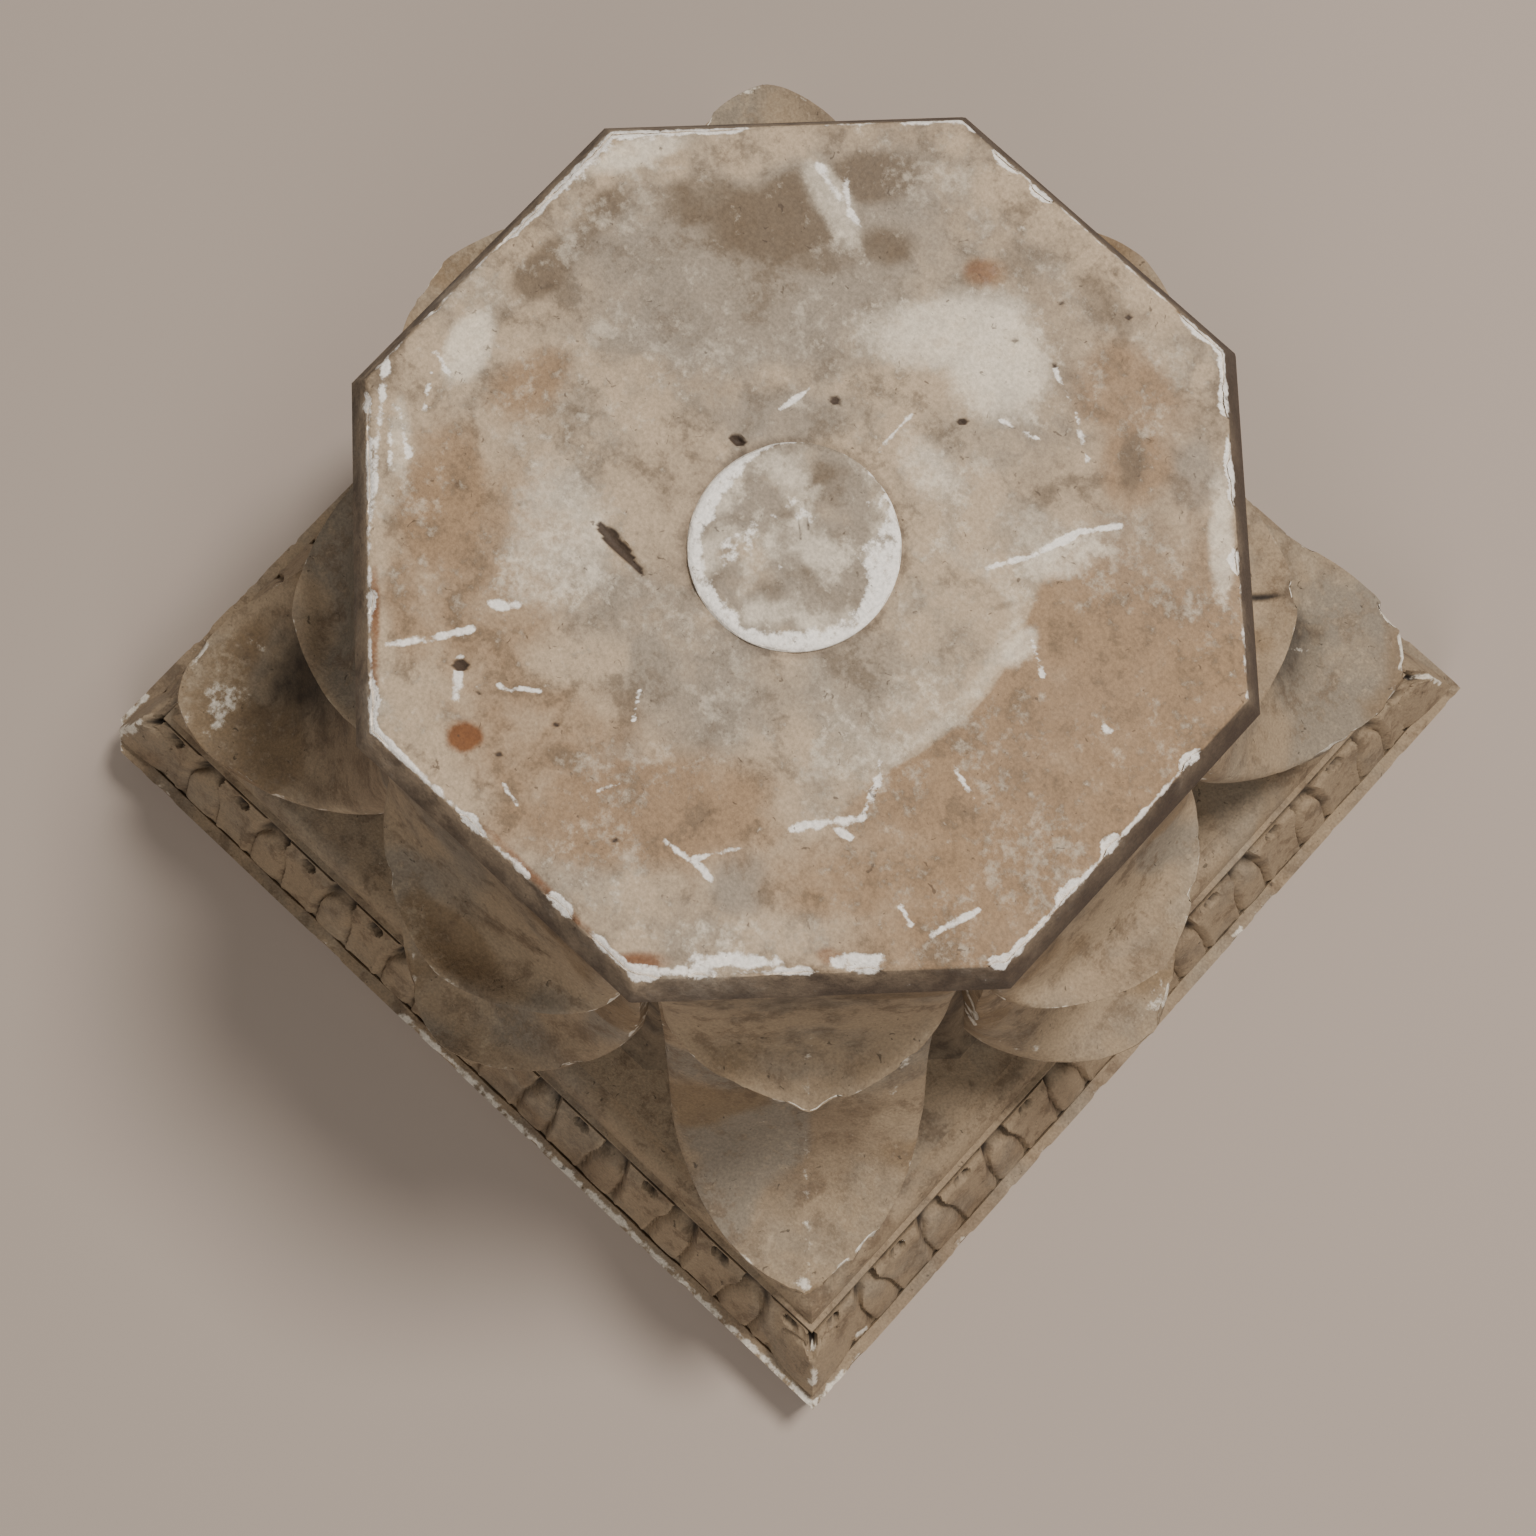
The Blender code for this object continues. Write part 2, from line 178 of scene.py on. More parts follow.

# Stains of the bed: middle, length, width, degrees from +X, strength
STAINS = {
    "pale": [
        ((0.0065, 0.0835), 0.045, 0.036, -48, 0.9),
        ((-0.0140, 0.0780), 0.061, 0.027, 43, 0.8),
        ((-0.0550, -0.0505), 0.058, 0.039, -46, 0.6),
        ((-0.1175, -0.0255), 0.027, 0.015, 108, 0.9),
        ((-0.0655, 0.0855), 0.036, 0.012, -22, 0.7),
        ((0.0960, 0.0865), 0.042, 0.010, -49, 0.8),
        ((0.0715, 0.0200), 0.018, 0.010, 88, 0.8),
        ((-0.1220, 0.0565), 0.039, 0.013, 62, 0.8),
        ((0.0735, -0.0985), 0.079, 0.015, 43, 0.35),
        ((0.0290, -0.1215), 0.045, 0.018, 16, 0.35),
        ((0.0625, 0.0485), 0.030, 0.014, 62, 0.7),
        ((0.0140, 0.0425), 0.036, 0.018, -3, 0.6),
        ((-0.0575, 0.0105), 0.036, 0.018, 43, 0.3),
        ((-0.1120, -0.0625), 0.033, 0.009, -46, 0.6),
        ((0.0600, -0.0150), 0.030, 0.012, 70, 0.4),
    ],
    "tan": [
        ((-0.0875, -0.0675), 0.058, 0.033, -46, 0.9),
        ((-0.0950, -0.0220), 0.033, 0.021, 89, 0.8),
        ((0.0235, -0.0955), 0.085, 0.040, 43, 0.9),
        ((0.0600, 0.0850), 0.033, 0.024, -48, 0.9),
        ((0.0425, 0.1020), 0.042, 0.033, -4, 0.7),
        ((0.0930, -0.0580), 0.085, 0.035, 43, 0.7),
        ((-0.0480, -0.0930), 0.045, 0.036, -46, 0.6),
        ((0.0015, -0.1100), 0.048, 0.027, -2, 0.6),
        ((-0.0160, 0.1015), 0.015, 0.012, 43, 0.8),
        ((-0.0750, -0.0900), 0.060, 0.030, -46, 0.6),
        ((-0.0600, -0.0700), 0.080, 0.050, -46, 0.6),
        ((-0.0100, -0.1000), 0.100, 0.045, 20, 0.6),
    ],
    "grey": [
        ((0.0070, -0.0540), 0.060, 0.050, 43, 0.5),
        ((-0.0080, -0.0605), 0.024, 0.015, -47, 0.8),
        ((0.0095, -0.0900), 0.026, 0.015, -47, 0.7),
        ((0.0580, -0.0915), 0.022, 0.018, -47, 0.7),
        ((-0.0615, 0.0375), 0.079, 0.036, 43, 0.8),
        ((-0.0320, -0.0570), 0.048, 0.033, -2, 0.4),
        ((-0.0340, 0.0725), 0.036, 0.021, 43, 0.4),
        ((0.0385, -0.0250), 0.045, 0.033, 43, 0.5),
        ((-0.0300, 0.0240), 0.060, 0.020, 43, 0.6),
        ((0.0760, 0.0960), 0.024, 0.015, -48, 0.6),
        ((-0.0650, 0.0600), 0.120, 0.070, 43, 0.8),
        ((0.0200, 0.0650), 0.050, 0.030, 43, 0.4),
    ],
    "dark": [
        ((-0.0755, 0.0685), 0.045, 0.027, 43, 1.0),
        ((-0.0975, 0.0580), 0.033, 0.018, 43, 0.6),
        ((-0.1185, 0.0065), 0.027, 0.015, 90, 0.9),
        ((-0.1175, 0.0335), 0.024, 0.012, 90, 0.7),
        ((-0.0635, 0.1000), 0.030, 0.016, 43, 0.9),
        ((-0.0440, 0.0865), 0.024, 0.015, 43, 0.7),
        ((-0.0565, 0.0690), 0.027, 0.012, 43, 0.6),
        ((0.0175, 0.1205), 0.033, 0.015, -4, 0.5),
        ((-0.0805, -0.0240), 0.018, 0.012, 43, 0.4),
        ((0.0600, 0.0840), 0.021, 0.010, -48, 0.8),
        ((-0.0155, 0.1120), 0.027, 0.015, -4, 0.4),
        ((0.0600, 0.0270), 0.012, 0.003, 60, 0.5),
    ],
    "rust": [
        ((-0.0335, -0.1160), 0.0125, 0.0110, 43, 1.2),
        ((-0.0170, 0.1010), 0.012, 0.009, 43, 0.45),
        ((0.0520, -0.1300), 0.022, 0.008, 43, 0.65),
        ((-0.0745, -0.1125), 0.060, 0.004, -46, 0.6),
        ((0.0180, -0.1325), 0.050, 0.004, -2, 0.55),
        ((0.0930, -0.0890), 0.009, 0.005, 43, 0.45),
    ],
}

# Round stain left by something that stood on the bed: its edge, and where it is crisp
RING_RADIUS = 0.0738
RING_TURN = math.radians(3)
RING_SPREAD = math.radians(38)

# White scratches and rubs of the bed: points along each, then its width
WHITE_MARKS = [
    ((-0.0705, -0.1115), (-0.0620, -0.1010), (-0.0545, -0.0900), 0.0022),
    ((-0.1220, -0.0570), (-0.1095, -0.0690), 0.0020),
    ((-0.1190, -0.0555), (-0.1070, -0.0640), 0.0016),
    ((-0.1235, -0.0345), (-0.1140, -0.0375), 0.0018),
    ((-0.1200, -0.0400), (-0.1135, -0.0505), 0.0012),
    ((-0.0505, -0.0995), (-0.0465, -0.1045), (-0.0435, -0.1090), 0.0030),
    ((-0.0560, -0.0805), (-0.0495, -0.0755), 0.0030),
    ((0.0480, 0.0315), (0.0565, 0.0460), (0.0610, 0.0595), (0.0690, 0.0695), 0.0018),
    ((0.0210, 0.0930), (0.0340, 0.0875), (0.0480, 0.0780), 0.0013),
    ((-0.0330, 0.0255), (-0.0300, 0.0385), 0.0010),
    ((-0.0020, 0.0515), (-0.0015, 0.0360), 0.0010),
    ((-0.0150, -0.1180), (-0.0070, -0.1200), 0.0013),
    ((0.0330, -0.0975), (0.0480, -0.0960), (0.0515, -0.0965), 0.0018),
    ((0.0465, -0.0895), (0.0515, -0.0835), 0.0015),
    ((0.0425, -0.0960), (0.0490, -0.0865), 0.0013),
    ((0.0585, -0.0685), (0.0660, -0.0595), (0.0720, -0.0515), 0.0028),
    ((0.0665, -0.0600), (0.0730, -0.0585), 0.0018),
    ((0.0715, -0.0510), (0.0680, -0.0400), (0.0640, -0.0350), 0.0014),
    ((0.1115, -0.0635), (0.1165, -0.0485), 0.0015),
    ((0.0075, -0.1005), (0.0110, -0.0945), 0.0014),
    ((0.0730, 0.0240), (0.0830, 0.0185), 0.0010),
    ((0.1070, 0.0190), (0.1095, 0.0195), 0.0020),
    ((-0.0040, -0.0690), (0.0010, -0.0770), 0.0010),
    ((-0.0315, -0.0935), (-0.0260, -0.0900), 0.0014),
    ((-0.0365, -0.0970), (-0.0325, -0.0955), 0.0012),
    ((-0.0685, 0.0935), (-0.0600, 0.0865), 0.0022),
    ((-0.0780, 0.0920), (-0.0655, 0.0880), 0.0026),
    ((-0.0540, 0.0850), (-0.0625, 0.0885), 0.0015),
    ((0.0795, -0.0205), (0.0935, -0.0245), 0.0010),
    ((0.0985, -0.0635), (0.1050, -0.0655), 0.0012),
    ((0.0195, 0.0690), (0.0325, 0.0730), 0.0012),
    # Rubbed arrises
    ((-0.1345, 0.0330), (-0.1330, 0.0555), (-0.1175, 0.0745), 0.0085),
    ((-0.1175, 0.0745), (-0.0950, 0.0970), (-0.0550, 0.1345), 0.0040),
    ((0.0475, 0.1355), (0.0560, 0.1335), (0.0685, 0.1215), 0.0045),
    ((0.0560, 0.1335), (0.0000, 0.1345), (-0.0550, 0.1345), 0.0020),
    ((0.0830, 0.1060), (0.0870, 0.1030), 0.0050),
    ((0.1000, 0.0905), (0.1335, 0.0560), 0.0018),
    ((0.0640, -0.1180), (0.0825, -0.1015), 0.0050),
    ((0.0960, -0.0890), (0.1050, -0.0805), 0.0045),
    ((0.0545, -0.1310), (0.0640, -0.1220), 0.0035),
    ((-0.1345, -0.0450), (-0.0950, -0.0950), (-0.0560, -0.1330), 0.0024),
    ((-0.0560, -0.1330), (0.0100, -0.1335), 0.0022),
    ((-0.1345, 0.0300), (-0.1345, -0.0500), 0.0022),
    ((0.1335, 0.0300), (0.1335, -0.0540), 0.0018),
]
DARK_MARKS = [
    ((-0.0865, -0.0300), (-0.0715, -0.0310), (-0.0565, -0.0320), 0.0007),
    ((0.0495, 0.0730), (0.0570, 0.0780), (0.0610, 0.0800), 0.0010),
    ((-0.0230, 0.0395), (-0.0200, 0.0390), 0.0012),
    ((-0.0440, -0.1120), (-0.0430, -0.1160), 0.0016),
]
DISC_SLITS = [
    ((-0.0070, 0.0085), (-0.0005, 0.0030), 0.0006),
    ((-0.0060, 0.0040), (0.0, -0.0010), 0.0005),
]

# The gouge beside the disc, as two hollows: place, length, width, turn in radians, depth
GOUGE = [
    ((-0.0410, -0.0404), 0.0180, 0.0048, -0.10, 0.0030),
    ((-0.0330, -0.0414), 0.0110, 0.0028, -0.12, 0.0018),
]
PINHOLES = 120

# Pits of the bed: place, width, depth
BED_PITS = [
    ((-0.0495, -0.1005), 0.0042, 0.0022),
    ((-0.0360, 0.0090), 0.0038, 0.0030),
    ((0.0110, 0.0610), 0.0026, 0.0018),
    ((-0.0220, -0.1125), 0.0022, 0.0012),
    ((-0.0395, -0.1030), 0.0018, 0.0010),
    ((-0.0155, -0.0940), 0.0022, 0.0012),
    ((0.0220, -0.1075), 0.0020, 0.0012),
    ((0.0080, 0.1105), 0.0020, 0.0010),
    ((0.0265, 0.1215), 0.0022, 0.0012),
    ((0.0055, 0.0915), 0.0018, 0.0010),
    ((0.0200, 0.0940), 0.0022, 0.0012),
    ((-0.0225, 0.0390), 0.0030, 0.0014),
]

# Bites out of the neck's arris: place, width
ARRIS_BITES = [
    ((-0.1325, 0.0550), 0.0095), ((-0.1330, 0.0425), 0.0070), ((-0.1345, 0.0330), 0.0060),
    ((-0.1265, 0.0655), 0.0050), ((-0.1155, 0.0770), 0.0040), ((-0.0365, 0.1330), 0.0055),
    ((-0.0215, 0.1335), 0.0045), ((0.0660, 0.1235), 0.0065), ((0.0835, 0.1070), 0.0050),
    ((0.1030, 0.0860), 0.0050), ((0.1330, 0.0295), 0.0040), ((0.1320, -0.0065), 0.0050),
    ((0.1315, -0.0260), 0.0055), ((0.1315, -0.0550), 0.0040), ((0.1035, -0.0845), 0.0045),
    ((0.0670, -0.1180), 0.0050), ((0.0545, -0.1310), 0.0060), ((0.0235, -0.1330), 0.0050),
    ((-0.0140, -0.1335), 0.0040), ((-0.0615, -0.1265), 0.0045), ((-0.0845, -0.1055), 0.0040),
    ((-0.1300, -0.0615), 0.0040),
]

# Worn white places of the abacus: points along each, then its width
ABACUS_WEAR = [
    ((-0.0300, -0.2090), (0.0600, -0.2090), (0.2090, -0.2090), 0.0040),
    ((0.2090, -0.2090), (0.2090, -0.1900), 0.0040),
    ((0.1985, -0.1985), (0.2010, -0.2010), 0.0055),
    ((0.1885, -0.1885), (0.1900, -0.1900), 0.0034),
    ((0.2030, -0.1740), (0.2030, -0.1700), 0.0030),
    ((-0.2090, -0.2090), (-0.1950, -0.1950), 0.0060),
    ((-0.2090, -0.2090), (-0.2090, -0.1850), 0.0040),
    ((0.1900, 0.1900), (0.2000, 0.2000), 0.0030),
    ((0.2090, 0.0600), (0.2090, 0.0640), 0.0026),
]

# Cracks, seams, chips and patches of painted shade on single leaves: tier, number,
# kind, width, then points as (share of the half width, share of the way down)
LEAF_MARKS = [
    ("short_leaves", 7, "seam", 0.0020, [(0.02, 0.55), (0.00, 0.80), (0.03, 1.00)]),
    ("long_leaves", 7, "seam", 0.0022, [(0.05, 0.45), (0.05, 0.75), (0.02, 0.99)]),
    ("long_leaves", 7, "chip", 0.0048, [(0.02, 0.98), (0.05, 1.00)]),
    ("long_leaves", 7, "chip", 0.0050, [(0.80, 0.50), (0.74, 0.62)]),
    ("long_leaves", 1, "seam", 0.0012, [(0.00, 0.40), (0.00, 0.75)]),
    # Painted shade: dark patches down in the hollows of long leaves 1 and 5, below the short leaves
    ("long_leaves", 1, "soot_and_shade", 0.0300, [(-0.10, 0.45), (0.10, 0.62)]),
    ("long_leaves", 5, "soot_and_shade", 0.0330, [(-0.35, 0.45), (-0.15, 0.62)]),
    ("long_leaves", 1, "chip", 0.0042, [(0.30, 0.99), (0.20, 1.00)]),
    ("long_leaves", 1, "chip", 0.0050, [(-0.10, 1.00), (-0.25, 1.00)]),
    ("long_leaves", 0, "chip", 0.0100, [(0.30, 0.96), (0.10, 0.98)]),
    ("long_leaves", 0, "chip", 0.0050, [(-0.85, 0.85), (-0.80, 0.90)]),
    ("long_leaves", 6, "chip", 0.0060, [(-0.50, 0.96), (-0.45, 1.00)]),
    ("short_leaves", 1, "crack", 0.0011, [(0.00, 0.45), (0.05, 0.80), (0.02, 1.00)]),
    ("long_leaves", 5, "chip", 0.0110, [(-0.20, 0.85), (0.15, 0.92)]),
    ("long_leaves", 5, "chip", 0.0050, [(0.55, 1.00), (0.80, 1.00)]),
]

# How far the points of the two front leaves run out past their round ends
LEAF_TIPS = {("short_leaves", 7): 0.0030, ("long_leaves", 7): 0.0022}


# Numbers from 0 to 1, smooth steps and roughness

def smooth(value):
    value = np.clip(value, 0.0, 1.0)
    return value * value * (3 - 2 * value)


def cell_value(cells, seed):
    """The same random number from 0 to 1 each time for a whole-number cell."""
    mixed = cells[:, 0] * 374761393 + cells[:, 1] * 668265263 + cells[:, 2] * 1440662683
    mixed = (mixed + seed * 69069) & 0xFFFFFFFF
    mixed = ((mixed ^ (mixed >> 13)) * 1274126177) & 0xFFFFFFFF
    mixed = mixed ^ (mixed >> 16)
    return (mixed & 0xFFFFFF) / 0xFFFFFF


def rough(points, grain, seed=0, octaves=1):
    """Smooth roughness from -1 to 1 at each point, with bumps about one grain across."""
    total, weight, whole = 0.0, 1.0, 0.0
    for octave in range(octaves):
        scaled = points / (grain / 2**octave) + 11.7 * (seed + 1)
        cell = np.floor(scaled).astype(np.int64)
        share = smooth(scaled - cell)
        value = 0.0
        for corner in range(8):
            step = np.array([corner & 1, corner >> 1 & 1, corner >> 2 & 1])
            near = np.where(step, share, 1 - share).prod(axis=1)
            value = value + near * cell_value(cell + step, seed + octave)
        total = total + weight * (2 * value - 1)
        whole += weight
        weight *= 0.55
    return total / whole


def far_from_line(points, line):
    """Distance in plan from each point to a line through listed places."""
    nearest = np.full(len(points), np.inf)
    for start, end in zip(line, line[1:]):
        start, step = np.array(start), np.array(end) - np.array(start)
        away = points[:, :2] - start
        share = np.clip(away @ step / (step @ step), 0, 1)
        nearest = np.minimum(nearest, np.linalg.norm(away - share[:, None] * step, axis=1))
    return nearest


def marked(points, marks, fade=0.0005):
    """From 0 to 1 how strongly each point lies under one of the marks, stronger along its middle."""
    value = np.zeros(len(points))
    waver = 0.0007 * rough(points, 0.007, 15, 2)
    broken = 0.75 + 0.65 * rough(points, 0.0035, 16, 3)
    for *line, width in marks:
        away = far_from_line(points, line) + waver
        value = np.maximum(value, 1.25 - away / (width / 2 + fade))
    return np.clip(np.clip(value, 0, 1) * broken, 0, 1)


def oval(points, place, length, width, turn):
    """How far out each point lies in an oval in plan: 0 in its middle, 1 on its edge."""
    away = points[:, :2] - np.array(place)
    along = away[:, 0] * math.cos(turn) + away[:, 1] * math.sin(turn)
    beside = -away[:, 0] * math.sin(turn) + away[:, 1] * math.cos(turn)
    return np.hypot(2 * along / length, 2 * beside / width)


# Selecting and editing

def pick(piece):
    bpy.ops.object.select_all(action="DESELECT")
    piece.select_set(True)
    bpy.context.view_layer.objects.active = piece


def start_edit(piece, mode="VERT"):
    pick(piece)
    bpy.ops.object.mode_set(mode="EDIT")
    bpy.ops.mesh.select_mode(type=mode)
    bpy.ops.mesh.select_all(action="DESELECT")


def end_edit():
    bpy.ops.object.mode_set(mode="OBJECT")


def choose_edges(piece, test):
    """Selects, in edit mode, the edges whose two ends pass the test."""
    bpy.ops.mesh.select_all(action="DESELECT")
    bm = bmesh.from_edit_mesh(piece.data)
    for edge in bm.edges:
        edge.select_set(test(edge.verts[0].co, edge.verts[1].co))
    bmesh.update_edit_mesh(piece.data)


def runs_along(axis):
    """A test for edges that run along one axis."""
    def test(a, b):
        step = b - a
        return abs(step[axis]) > 0.9 * step.length
    return test


def read_points(piece):
    points = np.empty(len(piece.data.vertices) * 3, np.float32)
    piece.data.vertices.foreach_get("co", points)
    return points.reshape(-1, 3).astype(float)


def write_points(piece, points):
    piece.data.vertices.foreach_set("co", points.astype(np.float32).ravel())
    piece.data.update()


def paint(piece, name, values):
    """Keeps a value from 0 to 1 at each vertex, for the material to read."""
    layer = piece.data.attributes.get(name) or piece.data.attributes.new(name, "FLOAT", "POINT")
    layer.data.foreach_set("value", np.clip(values, 0, 1).astype(np.float32))


def join(pieces, name):
    bpy.ops.object.select_all(action="DESELECT")
    for piece in pieces:
        piece.select_set(True)
    bpy.context.view_layer.objects.active = pieces[0]
    if len(pieces) > 1:
        bpy.ops.object.join()
    joined = bpy.context.object
    joined.name = joined.data.name = name
    return joined


def own_copy(piece):
    made = piece.copy()
    made.data = piece.data.copy()
    bpy.context.collection.objects.link(made)
    return made


def close_ends(piece):
    """Fills every open loop with one face and turns all faces outwards."""
    start_edit(piece, "EDGE")
    bpy.ops.mesh.select_non_manifold(extend=False, use_boundary=True, use_wire=False,
                                     use_multi_face=False, use_non_contiguous=False, use_verts=False)
    bpy.ops.mesh.edge_face_add()
    bpy.ops.mesh.select_all(action="SELECT")
    bpy.ops.mesh.normals_make_consistent(inside=False)
    end_edit()


def shade(piece, degrees=38):
    pick(piece)
    bpy.ops.object.shade_smooth_by_angle(angle=math.radians(degrees))


# Abacus

def moulding_lines():
    """(inset, z, rows up to the next line) for each line of the moulding."""
    return [
        (0.0, 0.0, 2),
        (0.0, FILLET_HEIGHT - ARRIS_DEPTH, 3),
        (0.0, FILLET_HEIGHT, 3),
        (FILLET_WIDTH, FILLET_HEIGHT, 1),
        (FILLET_WIDTH + GROOVE_WIDTH / 2, FILLET_HEIGHT - GROOVE_DEPTH, 1),
        (BAND_OUTER, FILLET_HEIGHT, 42),
        (BAND_INNER, BAND_TOP, 1),
        (BAND_INNER + 0.0007, BAND_TOP - GROOVE_DEPTH / 2, 1),
        (BAND_INNER + 0.0012, INNER_FILLET_Z, 2),
        (COVE_OUTER, INNER_FILLET_Z, 1),
        (COVE_OUTER + COVE_WIDTH * 0.12, INNER_FILLET_Z + COVE_HEIGHT * 0.38, 1),
        (COVE_OUTER + COVE_WIDTH * 0.33, INNER_FILLET_Z + COVE_HEIGHT * 0.69, 1),
        (COVE_OUTER + COVE_WIDTH * 0.62, INNER_FILLET_Z + COVE_HEIGHT * 0.91, 1),
        (COVE_INNER, COVE_TOP, 2),
        (SOFFIT_EDGE, COVE_TOP, 2),
        (SOFFIT_EDGE, SOFFIT_Z, 1),
    ]


def joins_lines(line, next_line):
    """A test for edges that run from one line of the moulding to the next."""
    ends = {(round(inset, 5), round(z, 5)) for inset, z, _ in (line, next_line)}

    def test(a, b):
        return {(round(p.y + HALF_SIDE, 5), round(p.z, 5)) for p in (a, b)} == ends
    return test


def model_side(lines):
    """One side of the abacus: an edge extruded line by line, then cut into a fine grid."""
    bpy.ops.mesh.primitive_plane_add(size=ABACUS_SIDE)
    side = bpy.context.object
    start_edit(side)
    bm = bmesh.from_edit_mesh(side.data)
    for vert in bm.verts:
        vert.select_set(vert.co.y > 0)
    bmesh.update_edit_mesh(side.data)
    bpy.ops.mesh.delete(type="VERT")
    bpy.ops.mesh.select_all(action="SELECT")
    for (inset, z, _), (next_inset, next_z, _) in zip(lines, lines[1:]):
        step = (0, next_inset - inset, next_z - z)
        bpy.ops.mesh.extrude_region_move(TRANSFORM_OT_translate={"value": step})
        narrower = (HALF_SIDE - next_inset) / (HALF_SIDE - inset)
        bpy.ops.transform.resize(value=(narrower, 1, 1), center_override=(0, 0, 0))
    bpy.ops.mesh.select_mode(type="EDGE")
    for cuts in (34, 9):
        choose_edges(side, runs_along(0))
        bpy.ops.mesh.subdivide(number_cuts=cuts)
    for line, next_line in zip(lines, lines[1:]):
        rows = line[2]
        if rows > 1:
            choose_edges(side, joins_lines(line, next_line))
            bpy.ops.mesh.subdivide(number_cuts=rows - 1)
    end_edit()
    return side


def carving(along, row, inset, side):
    """Height of the leaf and tongue carving, and how dark it is painted, at places along a side."""
    turn = (along + STRAIGHT) / SPACING
    cells = np.stack([np.floor(turn), np.full_like(turn, side), np.zeros_like(turn)], axis=1).astype(np.int64)
    slip = 0.0008 * (2 * cell_value(cells, 61) - 1)
    half_width = TONGUE_HALF_WIDTH * (1 + 0.07 * (2 * cell_value(cells, 62) - 1))
    depth_share = 0.75 + 0.5 * cell_value(cells, 63)
    away = np.abs((np.mod(turn, 1.0) - 0.5) * SPACING - slip)
    rising = smooth(row / 0.06)
    # Tongue: a low straight-sided lobe with a round inner end
    past = np.clip(row - TONGUE_SPRING, 0, None) / (TONGUE_END - TONGUE_SPRING)
    reach = np.hypot(away / half_width, past)
    tongue = TONGUE_RELIEF * np.sqrt(np.clip(1 - reach**4, 0, None))
    outside = (reach - 1) * half_width
    # Groove round it, which widens into a drilled crescent at the inner end
    crescent = smooth((row - 0.64) / 0.16) * smooth((half_width * 1.05 - away) / 0.003)
    groove_width = 0.0009 + 0.0016 * crescent
    groove_depth = (GROOVE_RELIEF + CRESCENT_DEPTH * crescent) * depth_share
    groove = np.exp(-(((outside - groove_width) / groove_width) ** 2))
    # Broad leaf between two tongues, nearly level with them, with a drilled hole at its tip
    off_leaf = SPACING / 2 - away
    leaf = LEAF_RELIEF * smooth(outside / 0.0025) * smooth((0.97 - row) / 0.10)
    leaf += 0.0007 * np.exp(-(((outside - 0.0036) / 0.0013) ** 2)) * smooth((0.92 - row) / 0.1)
    hole_far = np.hypot(off_leaf / HOLE_LENGTH, (row - HOLE_ROW) * BAND_LENGTH / HOLE_WIDTH)
    hole = smooth((1.25 - hole_far) / 0.5)
    # Big plain leaf that wraps each corner, with an almond eye at its inner end
    mitre = HALF_SIDE - inset - np.abs(along)
    corner_half = CORNER_WIDTH * np.sqrt(np.clip(1 - (row / CORNER_END) ** 2.2, 0, None)) + 1e-4
    corner = CORNER_RELIEF * np.sqrt(np.clip(1 - (mitre / corner_half) ** 3, 0, None))
    corner_groove = np.exp(-(((mitre - corner_half - 0.0011) / 0.0011) ** 2)) * smooth((0.94 - row) / 0.08)
    eye_far = np.hypot(mitre / 0.0021, (row - 0.93) * BAND_LENGTH / 0.0042)
    eye = smooth((1.2 - eye_far) / 0.4)
    eye_rim = np.exp(-(((eye_far - 1.7) / 0.35) ** 2))
    by_corner = np.abs(along) > STRAIGHT
    hole = np.where(by_corner & (off_leaf > 0.006), 0, hole)
    corner_or_leaf = np.where(mitre < corner_half, corner, leaf)
    tongue_or_leaf = np.where(outside < 0, tongue, leaf)
    raised = np.where(by_corner, corner_or_leaf, tongue_or_leaf)
    cut = np.where(by_corner, CORNER_GROOVE * corner_groove, groove_depth * groove)
    rimmed_eye = np.where(by_corner, EYE_RIM * eye_rim - EYE_DEPTH * eye, 0)
    height = rising * (raised - cut) - HOLE_DEPTH * hole + rimmed_eye
    # Dirt with painted shade: grooves darken most at their deep crescents; drilled holes and eyes are painted
    # dark
    grooves = np.where(by_corner, 0.45 * corner_groove, groove * (0.25 + 0.55 * crescent * depth_share))
    dirt_and_shade = np.maximum(np.maximum(grooves * rising, hole), np.where(by_corner, eye, 0))
    return height, dirt_and_shade


